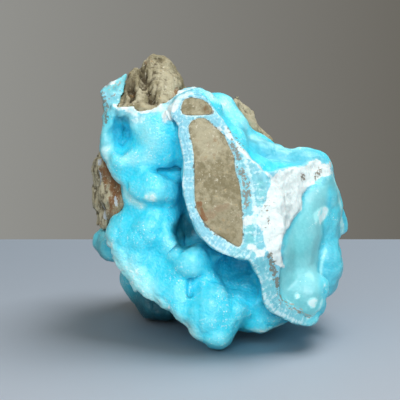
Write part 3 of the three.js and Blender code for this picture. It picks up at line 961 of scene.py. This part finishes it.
@dataclass
class Crust:
    """The botryoidal crust: rounded, crowded with shallow domes, and crisp where it is broken.

    Attributes:
        voxel: Size of its faces.
        domes: Spacing, reach and rise of the broad domes and of the small ones.
        seed: Start of the domes' random places.
        seam: How near to the rock or a clast it is out of sight.
        crisp: Where it is thin and broken all round, and keeps its edges.
        plain: Where it has grown smooth, without domes.
        white: The thick white part, broken across.
        ragged: The rough part of the face between the long clast and the white part.
        streaked: White streaks in the ragged part.
        glassy: Clear patches in the ragged part.
        lacy: Torn upper edges.
        chipped: Edges with small chips out of them.
        pale: Frosted crests and edges, and a haze of frost; the band on top of the knee is painted highlight, and the
            broad bands over the lower-left plate are partly painted highlight.
        spots: Thick white knobs of frost.
        dull: Where the blue is greyer; on the right wing, the top ridge and the left lump this is painted shade.
        teal: The sea-green part at the right.
        dark: Painted shade, drawn in the foot colour: under the overhanging plate, in the crease at the foot, on the
            left lump and at the pillar top.
        caves: Painted shade in hollows that no light gets into.
        shaded: Painted shade, where the blue is deeper.
        fills: What is raised, and how high.
        cuts: What is cut in, and how deep.
        tucked: What is shifted, and how far along each axis.
        brown: Stains on the broken face.
        bared: Where rock shows through a thin edge.
        lower_rim: The outer edge of the rim that hangs at the right.
        tip_side, tip_top: Between which x, and which z, the unbroken tip at the lower right sets in.
    """

    voxel: float = 0.6
    domes: tuple[Point, ...] = ((9, 7, 2.6), (4, 3, 0.5))
    seed: int = 7
    seam: float = 0.75
    crisp: Zones = (
        Band(((-38, -4, 82), (-35, -4, 77), (-28.5, -9, 75.5)), 6, 0.5),
        Band(((-37, -3, 82.5), (-32, 0, 87)), 5, 0.5),
    )
    plain: Zones = (
        Band(((30, -14, 48), (28, -22, 34), (26, -27, 20)), 10, 0.5),
        Band(((-24, -14, 66),), 13, 0.6),
    )
    white: Zones = (
        Patch(((19.8, 57.7), (27.5, 57.4), (32.4, 58.3), (37.4, 56.4), (38.4, 52.8), (32.2, 51.8), (29.1, 50.2),
               (27.5, 47.8), (27, 44.1), (24.9, 42.2), (22.7, 40), (19.7, 37.7), (19.5, 33.8), (20.6, 28.3),
               (17.8, 30.3), (16.5, 33.5), (14.6, 36.9), (12.4, 43.7), (15, 49.6), (16.7, 55.4)), 1.6),
    )
    ragged: Zones = (
        Patch(((5.2, 65.6), (9.9, 61.6), (13.8, 58), (17.4, 55.4), (14.4, 49.6), (12.1, 43.7), (14.6, 37.7),
               (14.6, 34.2), (9.7, 32.6), (6.8, 35.3), (7, 45), (5.4, 54.1)), 1.4),
    )
    streaked: Zones = (
        Band(((1.8, 71.9), (4.1, 68.5), (6.4, 65.2), (8.3, 63.7), (10.3, 61.9), (12.5, 60),
              (15.1, 57.8), (17.4, 55.5)), 1.5, 0.9),
        Band(((8.8, 43.1), (11.8, 46.6)), 3.4, 1),
        Band(((9.7, 35.7), (13.6, 33.6)), 2.4, 1),
    )
    glassy: Zones = (
        Band(((13.1, 54.5), (14.2, 49.6), (12.5, 45.5)), 3.2, 0.9),
        Band(((9.5, 41.5), (10.2, 36)), 3.6, 0.9),
    )
    lacy: Zones = (
        Band(((-8, 82.5), (-12.3, 82), (-15, 79), (-17, 74.5)), 3.6, 0.7),
        Band(((-34, 77.5), (-27.8, 76), (-20, 76.5)), 2.6, 0.7),
        Band(((-3, 72.5), (1.5, 70.5), (4.5, 67.5)), 1.4, 0.7),
        Band(((-38.3, 81.4), (-36, 83), (-32.7, 86)), 1, 0.7),
    )
    chipped: Zones = (
        Band(((-39, -10, 33), (-37.6, -15.5, 29.2), (-33.5, -19.5, 20.6), (-29.5, -23, 17),
              (-22.5, -26.7, 13), (-17.2, -29.4, 9), (-11.3, -31.2, 5.3)), 2.6, 0.8),
        Band(((-39, -6, 77), (-38.4, -5, 70), (-38.2, -8.4, 62.2), (-36.5, -9, 55)), 2.8, 0.8),
    )
    pale: Zones = (
        Band(((-38, -9.4, 62.2), (-35.5, -10, 55), (-31.5, -14.7, 48.1), (-26, -17.4, 45.4)), 3.4, 1),
        # Along the lower-left rim: its pale edge, and painted highlight where that plate faces the light.
        Band(((-39, -10, 33), (-36.3, -17.3, 29.2), (-32.5, -20.9, 20.6), (-28.8, -23.8, 18),
              (-22.5, -26.7, 14.8), (-17.2, -29.4, 10.2), (-9.3, -32.2, 6.3)), 7.5, 1),
        Band(((-23.2, -20, 48.8),), 2.6, 0.8),
        Band(((-19.5, -10.1, 77),), 6, 0.9),
        Band(((-31, -12, 78), (-27.8, -9.4, 76)), 5, 0.9),
        Band(((-14.2, -13.5, 79.8), (-16.2, -12.7, 76.4)), 4, 0.9),
        Band(((35.8, -14.2, 29.1), (34.4, -15.4, 25.2), (33.8, -16.5, 21), (34.4, -26.6, 20.6)), 1.3, 1),
        Band(((33.5, -29.9, 16.5), (32.3, -30.6, 13.3), (29, -31.1, 10.7)), 1.4, 1),
        Band(((38.4, -4.2, 52.8), (39.9, -8.5, 44.9), (42.5, -3.4, 31.3), (41.5, -5, 22)), 2.3, 1),
        Band(((6, -27, 3.6), (12.2, -26.6, 4.6), (15.5, -26.2, 4.2), (21.3, -22.8, 5.4)), 2.2, 1),
        Band(((-3, -8.4, 80.2), (2.1, 0.7, 75.5)), 5, 0.9),
        # Over the lower-left plate: partly its pale rim, partly painted highlight where it faces the light.
        Band(((-39, -10, 33), (-30, -21, 23), (-24, -25, 17)), 9, 1),
        Band(((-27, -12, 72), (-22, -14, 66)), 9, 1, 0.6),
        # Painted highlight on the top of the knee.
        Band(((-31, -13.5, 60.5), (-26.8, -14.7, 60), (-22.8, -14.4, 61)), 5, 1, 0.6),
        Band(((-3, -4, 80.2), (2.1, 0.7, 75.5), (9, 1, 70)), 9, 1, 0.6),
        Band(((14, 0, 66), (26, 0, 62)), 9, 1, 0.6),
    )
    spots: Zones = (
        Band(((33.1, -16, 40.9),), 4, 0.9),
        Band(((34.6, -14, 41.4),), 3.6, 0.6),
        Band(((30.4, -32.3, 16.3),), 2.6, 0.7),
        Band(((25.2, -31.8, 18.5),), 1.5, 0.7),
        Band(((-22.6, -20.5, 48.7),), 2.8, 0.6),
        Band(((-19.5, -10.1, 77),), 3.6, 0.9),
    )
    dull: Zones = (
        # Painted shade on the right wing.
        Band(((39, -10, 40), (38, -12, 30), (37, -14.5, 18)), 9, 0.7, 0.4),
        Band(((36, -8, 50), (37.5, -8, 44)), 6, 0.8, 0.9),
        # Painted shade on the top ridge.
        Band(RIDGE, 10, 0.9, 0.4),
        Band(((-38.4, -5, 74), (-38.3, -8, 64), (-36.5, -9, 57)), 5, 0.8, 0.6),
        Band(((-36, -3, 83), (-32, 0, 87)), 5, 0.6, 0.9),
        # Painted shade on the left lump.
        Band(((-41, -2, 31), (-41.5, -1, 24)), 6, 0.8, 0.7),
    )
    teal: Zones = (
        Patch(((27.8, 47.8), (32.2, 51.3), (37.2, 52.3), (36.2, 46), (34, 32.6), (33, 22.9), (33.5, 16.5),
               (31.3, 9.8), (26.3, 10.3), (21.3, 13.5), (18.3, 22.9), (19.8, 32.9), (23.1, 39.2), (26.6, 44.3)), 1.8),
    )
    # Painted shade and shadow, drawn in the foot colour.
    dark: Zones = (
        Band(((-25, -4, 5), (-18, -6, 1)), 13, 0.9),
        Band(CREASE, 1.5, 0.9),
        Band(((-41.5, -1, 25),), 9, 1, 0.5),
        Band(((36.5, -9, 50.5), (37.5, -8, 45)), 4.5, 1, 0.5),
    )
    # Painted shade in deep hollows.
    caves: Zones = (Patch(((-15.8, 39), (-11.4, 40), (-7.2, 33.5), (-9.8, 31), (-14.5, 31.8)), 1.2),)
    # Painted shade, added to the hollows so that the blue deepens here.
    shaded: Zones = (
        Band(((38, -12, 30), (37, -14.5, 18)), 9, 0.7, 0.62),
        Band(((-14.5, 57), (-15, 48), (-14, 41)), 4.5, 0.9, 0.62),
        Band(((41, -2, 45), (41.5, -2, 30)), 6, 0.9, 0.62),
        Band(((34, -12, 51), (35, -12, 46)), 6, 0.9, 0.62),
        Band(((-33, -4, 72), (-32.5, -4, 63)), 6.5, 0.8, 0.82),
        Band(RIDGE, 10, 0.9, 0.85),
    )
    fills: Zones = (
        Band(((-20, -17, 53),), 8, 1, 1.5),
        Band(((-16.5, -21, 31.5), (-12.5, -21.5, 33.6), (-8.5, -21.8, 35)), 1.6, 1, 0.8),
        Band(((-32.2, -2, 70), (-32, -1.2, 64)), 4.5, 0.8, 1.5),
        Band(((-17.4, -12.6, 78), (-16.6, -12, 74), (-14.8, -13, 70)), 2.2, 1, 1.3),
    )
    cuts: Zones = (
        Band(CREASE, 1.6, 0.9, 1.3),
        Band(((-13, -22, 25), (-9.6, -27, 22.5), (-4.5, -26, 24.5)), 1.5, 1, 0.7),
        Band(((-19.5, -12.5, 58.7), (-16.3, -10.5, 58.2), (-12.4, -9, 57.9)), 1.7, 1, 1.6),
        Band(((-41.5, -1.5, 28.5),), 6, 0.9, 1.6),
    )
    tucked: tuple[tuple[Zone, Point], ...] = (
        (Band(((-37.6, -15.5, 27.2), (-33.5, -19.5, 20), (-29.5, -23, 15.5), (-22.5, -26.7, 11.5),
               (-17.2, -29.4, 7.5)), 9, 1), (1.9, 0, 2)),
        (Band(((-20, -13, 60), (-11, -10, 59.5)), 7.5, 1), (0, 0, -3.1)),
        (Band(((-24, -18, 52), (-14, -13, 50.5)), 7.5, 1), (0, 0, -2.2)),
        (Band(((-33, -6, 14), (-31, -4, 5)), 10, 0.9), (2.6, 0, 0)),
    )
    brown: Zones = (
        Band(((3.4, 71), (5.6, 69.1), (6.8, 67.4), (8.1, 65.5)), 1.7, 0.9),
        Band(((4, 67), (6.3, 62)), 1.6, 1),
        Band(((6.8, 58.5), (8.6, 54.5), (8.8, 48.5)), 2.6, 1),
        Band(((32.7, 53.8), (36.3, 55.8)), 2.5, 1),
        Band(((27.4, 54.6), (27.9, 53.2)), 1.5, 1),
        Band(((15.9, 33.6), (17.2, 28.7), (18.6, 23.9), (20, 17.8), (24.4, 14.6), (29.3, 11.5)), 1.9, 0.9),
        Band(((15.4, 50.5), (15.8, 42.5)), 3.2, 0.8, 0.35),
    )
    bared: Zones = (
        Band(((-39.2, -4, 79.6), (-38.6, -5.5, 76.5), (-38.2, -8, 72)), 3.6, 1),
        Band(((-37, -3, 82), (-31.5, 0, 87)), 6, 0.7, 0.5),
    )
    lower_rim: tuple[Point, ...] = (
        (8.2, -35.5, 33.6), (9.7, -35.6, 32.4), (11.7, -35.9, 28.5), (13.3, -35.4, 23.3), (15, -35, 18.1),
        (18, -34.1, 13.8), (23, -32.7, 11.3), (28, -31.3, 8.7),
    )
    tip_side: Flat = (25.5, 30.5)
    tip_top: Flat = (26.0, 22.0)

    def _broken_faces(self, solid: Sculpture) -> np.ndarray:
        """Finds the faces of the solid that lie in one of the breaks.

        Args:
            solid: The crust as it was packed.

        Returns:
            Their numbers.
        """
        polygons = solid.mesh.polygons
        middles, facing = vectors(polygons, "center"), vectors(polygons, "normal")
        inside = [(np.abs(plane.height(middles)) < FLATNESS) & plane.faces(facing) for plane in BREAKS]
        return np.flatnonzero(np.any(inside, axis=0))

    def _dome_heights(self, growth: Sculpture, spacing: float, reach: float, rise: float) -> np.ndarray:
        """Heights of domes that crowd each other on the surface.

        Args:
            growth: The crust.
            spacing: About how far the middles of two are apart, in millimetres.
            reach: How far each spreads from its middle.
            rise: How high the highest are.

        Returns:
            The height at each point, in millimetres.
        """
        points = growth.points
        random = np.random.RandomState(self.seed)
        order = random.permutation(len(points))
        cells: set[tuple[int, int, int]] = set()
        middles: list[np.ndarray] = []
        for i in order:
            cell = tuple(np.floor(points[i] / (spacing * 0.7 * MM)).astype(int))
            if cell not in cells:
                cells.add(cell)
                middles.append(points[i])
        rises = rise * random.uniform(0.35, 1.0, len(middles))
        tree = search_tree(middles)
        return np.array([
            max(rises[i] * (1 - (away / (reach * MM)) ** 2) for _, i, away in tree.find_n(place, 3)) for place in points
        ]).clip(0)

    def build(self) -> bpy.types.Object:
        """Models and dresses the crust.

        Returns:
            The finished piece.
        """
        # Round the solid off everywhere but in the breaks and on the thin rims.
        around = [Sculpture(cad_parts[node]).tree() for node in (ROCK, LONG, SMALL)]
        growth = Sculpture.of_node(CRUST, "hemimorphite_growth")
        broken = growth.tree(self._broken_faces(growth))
        growth.remesh(self.voxel)
        away = nearness(growth.points, broken)
        keep = strongest(self.crisp, growth.points)
        rounded = smoothstep(0.4, 2.4, away) * (1 - 0.85 * keep) * (1 - 0.7 * strongest(self.chipped, growth.points))
        growth.smooth(rounds=6, weights=rounded)

        # Grow the domes on what is free, and shape single places.
        points = growth.points
        away = nearness(points, broken)
        distances = [nearness(points, tree) for tree in around]
        nearest = np.min(distances, axis=0)
        shown = nearest > self.seam
        keep = np.maximum(strongest(self.crisp, points), smoothstep(1.2, 0.3, away))
        free = shown * (1 - keep) * smoothstep(0.7, 1.6, nearest) * smoothstep(1, 4, points[:, 2] / MM)
        smooth = 1 - strongest(self.plain, points) * 0.8
        crowd = 0.6 + 0.9 * flecked(points, 14.0)
        broad, small = (self._dome_heights(growth, *dome) for dome in self.domes)
        heights = (broad - 1.2) * crowd.clip(0.35, 1) + (small - 0.3) * (1.4 * crowd - 0.2).clip(0.15, 1)
        filled = sum(zone.strength(points) for zone in self.fills)
        growth.raise_by(heights * free * smooth + filled * shown)
        growth.raise_by(-sum(zone.strength(growth.points) for zone in self.cuts) * shown)
        shifts = [np.outer(zone.strength(points), way) * MM for zone, way in self.tucked]
        growth.points = growth.points + np.sum(shifts, axis=0)
        growth.smooth(rounds=1, weights=1 - 0.9 * keep)

        # Roughen the breaks, the thin rims and, slightly, the grown surface.
        torn = smoothstep(0.9, 0.4, away)
        depth = -np.max([plane.height(points) for plane in BREAKS[:2]], axis=0)
        torn = np.maximum(torn, strongest(self.white, points) * smoothstep(2.0, 1.0, depth) * (points[:, 1] < 0))
        rough = np.maximum(strongest(self.white + self.ragged, points) * torn, strongest(self.crisp, points))
        rough = np.maximum(rough, strongest(self.lacy + self.chipped, points) * 0.7)
        growth.roughen(spacing=2.6, height=1.5, level=0.55, octaves=4, weights=shown * rough)
        growth.roughen(spacing=1.1, height=0.35, level=0.5, octaves=3, weights=shown * torn)
        growth.roughen(spacing=1.4, height=0.15, level=0.5, octaves=3, weights=shown * (1 - torn) * smooth)
        growth.stand()
        self._mark(growth, away, torn, shown, distances, around)
        return growth.finish(HemimorphiteFinish().material(), CRUST, "hemimorphite")

    def _mark(self, growth: Sculpture, away: np.ndarray, torn: np.ndarray, shown: np.ndarray,
              distances: list[np.ndarray], around: list[BVHTree]) -> None:
        """Marks the crust for its finish.

        Args:
            growth: The crust.
            away: Distance of each point from the broken faces.
            torn: How much each point is in one of them.
            shown: Which points are not against the rock.
            distances: Distance of each point to the rock and to each clast.
            around: The rock and the clasts.
        """
        points = growth.points
        crisp, near = strongest(self.crisp, points), smoothstep(3.0, 1.0, away)
        # Painted shade: the sheltered points and the shaded zones darken the blue in the finish.
        hollow = np.maximum(growth.sheltered([], shown), strongest(self.shaded, points))
        growth.mark(Mark.HOLLOW, hollow)
        # Crests are lightened in the finish, partly as painted highlight.
        growth.mark(Mark.CREST, np.clip(growth.swelling(60) * 0.7 + growth.swelling(8) * 1.5 + 0.2, -1, 1))
        tip = smoothstep(*self.tip_side, points[:, 0] / MM) * smoothstep(*self.tip_top, points[:, 2] / MM)
        frayed = strongest(self.lacy + self.chipped, points) * 0.75
        growth.mark(Mark.BROKEN, np.maximum.reduce([torn, crisp, frayed]) * (1 - tip))
        crumbled = (1.1 + 1.9 * flecked(points, 2.4, 2.0)).clip(0.5, 1.6)
        # Pale zones, partly painted highlight on lit faces.
        growth.mark(Mark.PALE, np.maximum(strongest(self.pale, points), strongest(self.spots, points) * crumbled * 1.3))
        # Painted shade and shadow, in the foot colour.
        caves = strongest(self.caves, points) * smoothstep(0.15, 0.5, hollow) * 0.75
        growth.mark(Mark.DARK, np.maximum(strongest(self.dark, points), caves))
        ragged, lacy = strongest(self.ragged, points) * near, strongest(self.lacy, points)
        streaks, thick = strongest(self.streaked, points) * near, strongest(self.white, points) * np.maximum(near, torn)
        whites = [thick, ragged * 0.12, streaks * 0.5, lacy * 0.42]
        growth.mark(Mark.WHITE, np.maximum.reduce(whites))

        # The sea-green part, the thin edges, and the distance to the inner side of the crust for its layers.
        front = (points[:, 1] < 0) * 1.0
        foot, beside = nearest_on(self.lower_rim, points / MM)
        pillar = strongest(self.teal, points) * (1 - torn)
        patches = ragged * np.maximum(0.45, strongest(self.glassy, points))
        thin = smoothstep(6.0, 4.0, beside) * near * 0.55 + crisp * 0.45
        teal = np.maximum.reduce([pillar, patches, thin]) * front
        growth.mark(Mark.TEAL, np.maximum(teal, strongest(self.dull, points)))
        growth.mark(Mark.BROWN, np.maximum(strongest(self.brown, points) * near, strongest(self.bared, points)))
        clast = np.minimum(*distances[1:])
        hanging = np.where(beside > 3, np.minimum(beside - 1.6, 3.3), HemimorphiteFinish.rim_width - beside)
        growth.mark(Mark.LAYER, np.where(beside < clast, hanging, clast))
        roots = []
        for place, on_rim, use_rim in zip(points, foot * MM, beside < clast):
            hits = [tree.find_nearest(Vector(place)) for tree in around[1:]]
            roots.append(on_rim if use_rim else min(hits, key=lambda hit: hit[3])[0][:])
        growth.mark(Mark.ROOT, np.array(roots))


@dataclass
class Matrix:
    """The broken rock that the crust has grown on.

    Attributes:
        voxel: Size of its faces.
        seam: How near to the crust it is out of sight.
        flank_side, flank_top: Between which x, and which z, the left flank sets in.
        grooved: Where else it has grooves that run down.
        dark: Painted shade on the left face of the peak and in its gully, and a darker patch at the lower tip of the
            flank.
        pale: Lighter places; on the right face of the peak this is painted highlight where the light falls.
        calm: Where its chips are flatter.
        eased: Where its gullies are filled a little.
        rust: Where limonite has stained it.
        veins: Pale veins.
    """

    voxel: float = 0.7
    seam: float = 0.6
    flank_side: Flat = (-30.0, -37.0)
    flank_top: Flat = (66.0, 58.0)
    grooved: Zones = (Band(((-29, 4, 88), (-25, 2, 76)), 13, 0.7),)
    dark: Zones = (
        Band(((-33, 2, 84), (-30, 2, 80), (-29, -2, 74)), 6.5, 0.8),
        Band(((-26.3, 7.4, 86), (-24.6, 5.3, 82.5), (-23.1, 1.8, 79.4), (-22.4, -0.2, 77)), 2.2, 0.8),
        Band(((-36, -7.3, 39.4), (-37, -9, 33), (-41.1, -2.2, 29.9)), 3, 0.8),
    )
    pale: Zones = (
        Band(((-18, 4, 84), (-16, 0, 76)), 9, 0.9),
        Band(((-26.9, -5.3, 78.7), (-26, -1.9, 81.1), (-25.3, 5.8, 83.1), (-24.2, 5, 84.6)), 1.6, 0.8),
        Band(((2, 9, 78), (8, 11, 74), (17, 13.5, 65)), 6, 0.9),
    )
    calm: Zones = (Band(((-17.5, 4, 86), (-13.5, 1, 78)), 8, 0.8),)
    eased: Zones = (
        Band(((-25.4, 6, 86.5),), 5, 0.8),
        Band(((-29.7, 3, 79.5),), 5.5, 0.8),
        Band(((-22.6, 1, 79),), 4.5, 0.8),
    )
    rust: Zones = (
        Band(((-39.5, -2, 62), (-36.5, -5, 53), (-34.5, -7.9, 46.5), (-35.5, -8, 40)), 5, 1),
        Band(((-13, 4, 81.5), (-14, -4, 78)), 2.5, 0.9),
    )
    veins: Zones = (
        Band(((-40, -1.3, 58.3), (-39.4, -2.5, 52), (-38.9, -4, 47.4), (-38.5, -3.4, 38.4), (-38, -8, 32.4)), 1.8),
        Band(((-36, -7, 49.5), (-35, -8.4, 46.5), (-34.3, -9.3, 43.4)), 0.9, 0.8),
    )

    def build(self) -> bpy.types.Object:
        """Models and dresses the rock.

        Returns:
            The finished piece.
        """
        rock = Sculpture.of_node(ROCK, "matrix_body")
        rock.remesh(self.voxel)
        rock.smooth(rounds=1, weights=smoothstep(0.3, 2.5, rock.points[:, 2] / MM))
        rock.smooth(rounds=16, weights=strongest(self.eased, rock.points))
        points = rock.points
        free = smoothstep(0.3, 3.0, points[:, 2] / MM)
        flank = smoothstep(*self.flank_side, points[:, 0] / MM) * smoothstep(*self.flank_top, points[:, 2] / MM)
        strata = np.abs(flecked(points, (2.6, 2.6, 16.0))) * 1.6 - 0.35 + flecked(points, (0.9, 0.9, 6.0), 5.0) * 0.2
        heights = np.abs(flecked(points, 8.0)) * 1.8 + np.abs(flecked(points, 3.2, 4.0)) * 0.4 - 0.55
        chips = rock.chips(spacing=8.0, rise=0.15, tilt=0.16, seed=4)
        chips += rock.chips(spacing=3.4, rise=0.1, tilt=0.12, seed=9)
        heights = heights + rock.evened(chips, rounds=1)
        heights = heights * (1 - 0.25 * strongest(self.calm, points)) + strongest(self.eased, points) * 0.7
        rock.raise_by((heights + strata * np.maximum(flank, strongest(self.grooved, points))) * free)
        rock.roughen(spacing=1.2, height=0.75, level=0.45, octaves=4, weights=free)
        rock.stand()
        points = rock.points
        crust = Sculpture(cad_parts[CRUST]).tree()
        shown = nearness(points, crust) > self.seam
        # Painted shade: sheltered places, hollows and creases are darkened in the finish.
        hollow = rock.sheltered([crust], shown, rays=8, reach=14.0) * 0.9 - rock.swelling(30) * 0.3
        rock.mark(Mark.HOLLOW, np.clip(hollow, 0, 1))
        rock.mark(Mark.CREST, np.clip(rock.swelling(5) * 4, -1, 1))
        # Painted shade on the dark zones.
        rock.mark(Mark.DARK, strongest(self.dark, points))
        # Lighter places, with painted highlight on the right face of the peak.
        rock.mark(Mark.PALE, strongest(self.pale, points) + flank * 0.8)
        rock.mark(Mark.BROWN, strongest(self.rust, points))
        rock.mark(Mark.WHITE, strongest(self.veins, points))
        rock.mark(Mark.LAYER, np.maximum(flank, strongest(self.grooved, points) * 0.9))
        return rock.finish(MatrixFinish().material(), ROCK, "matrix")


@dataclass
class Clast:
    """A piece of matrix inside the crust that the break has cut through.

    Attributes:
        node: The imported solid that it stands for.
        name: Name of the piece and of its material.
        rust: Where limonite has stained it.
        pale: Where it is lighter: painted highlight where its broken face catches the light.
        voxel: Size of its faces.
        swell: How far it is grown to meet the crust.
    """

    node: str
    name: str
    rust: Zones
    pale: Zones
    voxel: float = 0.4
    swell: float = 0.45

    def build(self) -> bpy.types.Object:
        """Models and dresses the clast.

        Returns:
            The finished piece.
        """
        clast = Sculpture.of_node(self.node, self.name)
        clast.remesh(self.voxel)
        clast.modify("DISPLACE", strength=self.swell * MM, mid_level=0.0)
        normal = np.array(FACE_BREAK.normal)
        points = clast.points
        height = FACE_BREAK.height(points)
        rough = flecked(points, 6.0) * 0.5 + flecked(points, 2.0, 3.0) * 0.35 + flecked(points, 0.8, 8.0) * 0.14
        front = smoothstep(-1.2, -0.1, height)
        points += ((rough * 0.8 - 0.1 - height) * front * MM)[:, None] * normal
        clast.points = points
        # Painted shade in its hollows.
        clast.mark(Mark.HOLLOW, np.clip(-clast.swelling(30) * 1.2, 0, 1))
        clast.mark(Mark.CREST, np.clip(clast.swelling(4) * 4, -1, 1))
        clast.mark(Mark.BROWN, strongest(self.rust, points))
        clast.mark(Mark.PALE, strongest(self.pale, points))
        # Painted shade: darker towards the bottom of the broken face.
        clast.mark(Mark.DARK, smoothstep(62.0, 44.0, points[:, 2] / MM) * 0.4)
        return clast.finish(MatrixFinish(self.name).material(), self.node, "matrix")


# ---- Floor, light and camera --------------------------------------------------------------------


@dataclass(frozen=True)
class Lamp:
    """A soft square lamp that points at the specimen.

    Attributes:
        name: Its name.
        place: Where it hangs, in metres.
        size: Its side, in metres.
        power: Its power in watts.
        tint: Its colour.
        shaded_table: Whether its light is kept off the table.
        aim: What it points at, in metres.
    """

    name: str
    place: Point
    size: float
    power: float
    tint: Colour = (1.0, 1.0, 1.0)
    shaded_table: bool = False
    aim: Point = (0, 0, 0.045)

    def hang(self, specimen: bpy.types.Collection) -> None:
        """Puts it up.

        Args:
            specimen: The pieces of the specimen, which are all that a lamp lights whose table is shaded.
        """
        light = bpy.data.lights.new(self.name, "AREA")
        light.size, light.energy, light.color = self.size, self.power, self.tint
        lamp = bpy.data.objects.new(self.name, light)
        lamp.location = self.place
        way = Vector(self.aim) - Vector(self.place)
        lamp.rotation_euler = way.to_track_quat("-Z", "Y").to_euler()
        bpy.context.scene.collection.objects.link(lamp)
        if self.shaded_table:
            lamp.light_linking.receiver_collection = specimen


@dataclass
class Studio:
    """Table top, soft light and camera.

    Attributes:
        look_at: What the camera looks at, in millimetres.
        distance: How far it stands from that.
        elevation: Its height above the horizon in degrees.
        lens: Focal length in millimetres.
        table_edge: Where the table top ends behind the specimen.
        table_half: Half of its side, in metres.
        table_near, table_far: Its colour in front of the specimen and behind it, a painted falloff of light that is
            brighter in front.
        table_fade: Up to which y, in metres, it has the far colour, and from which y the near one.
        room_left, room_right: The colour of the room behind.
        room_fade: Between which ways, by their x, the one turns into the other.
        lamps: The lamps.
        sensor: Width of the camera's sensor in millimetres.
        clip: How near and how far it sees, in metres.
    """

    look_at: Point = (-6.33, -1.01, 43.0)
    distance: float = 560.0
    elevation: float = 14.0
    lens: float = 148.2
    table_edge: float = 105.0
    table_half: float = 1.2
    table_near: Colour = rgb(0xE2ECFA)
    table_far: Colour = rgb(0xAAB8C8)
    table_fade: Flat = (0.12, -0.22)
    room_left: Colour = rgb(0x949490)
    room_right: Colour = rgb(0x69665F)
    room_fade: Flat = (-0.14, 0.14)
    lamps: tuple[Lamp, ...] = (
        Lamp("overhead", (0.22, 0.20, 0.70), size=0.42, power=3.8, tint=(1.0, 0.99, 0.98)),
        Lamp("front", (0.04, -0.68, 0.54), size=0.60, power=7.6, tint=(0.99, 0.99, 1.0), shaded_table=True),
    )
    sensor: float = 36
    clip: Flat = (0.01, 20)

    def build(self, pieces: list[bpy.types.Object]) -> None:
        """Sets the stage.

        Args:
            pieces: The pieces of the specimen.
        """
        self._table()
        specimen = bpy.data.collections.new("specimen")
        for piece in pieces:
            specimen.objects.link(piece)
        for lamp in self.lamps:
            lamp.hang(specimen)
        self._room()
        self._camera()
        bpy.context.scene.view_settings.view_transform = "Standard"

    def _table(self) -> None:
        """Lays the table top, with a painted falloff of light from front to back."""
        deselect()
        middle = self.table_edge * MM - self.table_half
        bpy.ops.mesh.primitive_plane_add(size=2 * self.table_half, location=(0, middle, 0))
        table = bpy.context.object
        table.name = "table_top"
        bpy.ops.object.transform_apply()
        paint = Paint("table_top")
        # Painted light: the table is brighter in front of the specimen and darker behind it.
        split = paint.node("ShaderNodeSeparateXYZ", {}, {"Vector": paint.place}, "Y")
        tint = paint.mix(split.step(*self.table_fade), self.table_far, self.table_near)
        table.data.materials.append(paint.set(Base_Color=tint, Roughness=0.55, Specular_IOR_Level=0.3))

    def _room(self) -> None:
        """Gives the room behind a warm grey that is lighter to the left."""
        world = bpy.data.worlds.new("room")
        world.use_nodes = True
        nodes, links = world.node_tree.nodes, world.node_tree.links
        way, ramp = nodes.new("ShaderNodeTexCoord"), nodes.new("ShaderNodeMapRange")
        split, mix = nodes.new("ShaderNodeSeparateXYZ"), nodes.new("ShaderNodeMix")
        mix.data_type = "RGBA"
        ramp.inputs["From Min"].default_value, ramp.inputs["From Max"].default_value = self.room_fade
        mix.inputs[6].default_value, mix.inputs[7].default_value = (*self.room_left, 1), (*self.room_right, 1)
        links.new(way.outputs["Generated"], split.inputs[0])
        links.new(split.outputs["X"], ramp.inputs["Value"])
        links.new(ramp.outputs[0], mix.inputs[0])
        links.new(mix.outputs[2], nodes["Background"].inputs["Color"])
        bpy.context.scene.world = world

    def _camera(self) -> None:
        """Stands the camera in front of the broken face."""
        data = bpy.data.cameras.new("camera")
        data.sensor_width, data.lens = self.sensor, self.lens
        data.clip_start, data.clip_end = self.clip
        camera = bpy.data.objects.new("camera", data)
        tilt = math.radians(self.elevation)
        back = Vector((0, -math.cos(tilt), math.sin(tilt)))
        camera.location = (Vector(self.look_at) + back * self.distance) * MM
        camera.rotation_euler = (-back).to_track_quat("-Z", "Y").to_euler()
        bpy.context.scene.collection.objects.link(camera)
        bpy.context.scene.camera = camera


def main() -> None:
    """Builds the specimen and its studio, in order."""
    logging.basicConfig(level=logging.INFO, format="%(message)s")
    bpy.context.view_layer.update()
    # Painted highlight on the broken faces of the clasts, where they catch the light.
    light = (Band(((-5, -17, 72), (-3, -19, 66)), 6, 0.9),)
    parts = (
        Matrix(),
        Clast(LONG, "clast_long", rust=(Band(((-7, -28, 48.5), (-5, -30.2, 44)), 2, 1),), pale=light),
        Clast(SMALL, "clast_small", rust=(Band(((-4.5, -15, 77),), 2.6, 0.9),), pale=light),
        Crust(),
    )
    Studio().build([part.build() for part in parts])


if __name__ == "__main__":
    main()
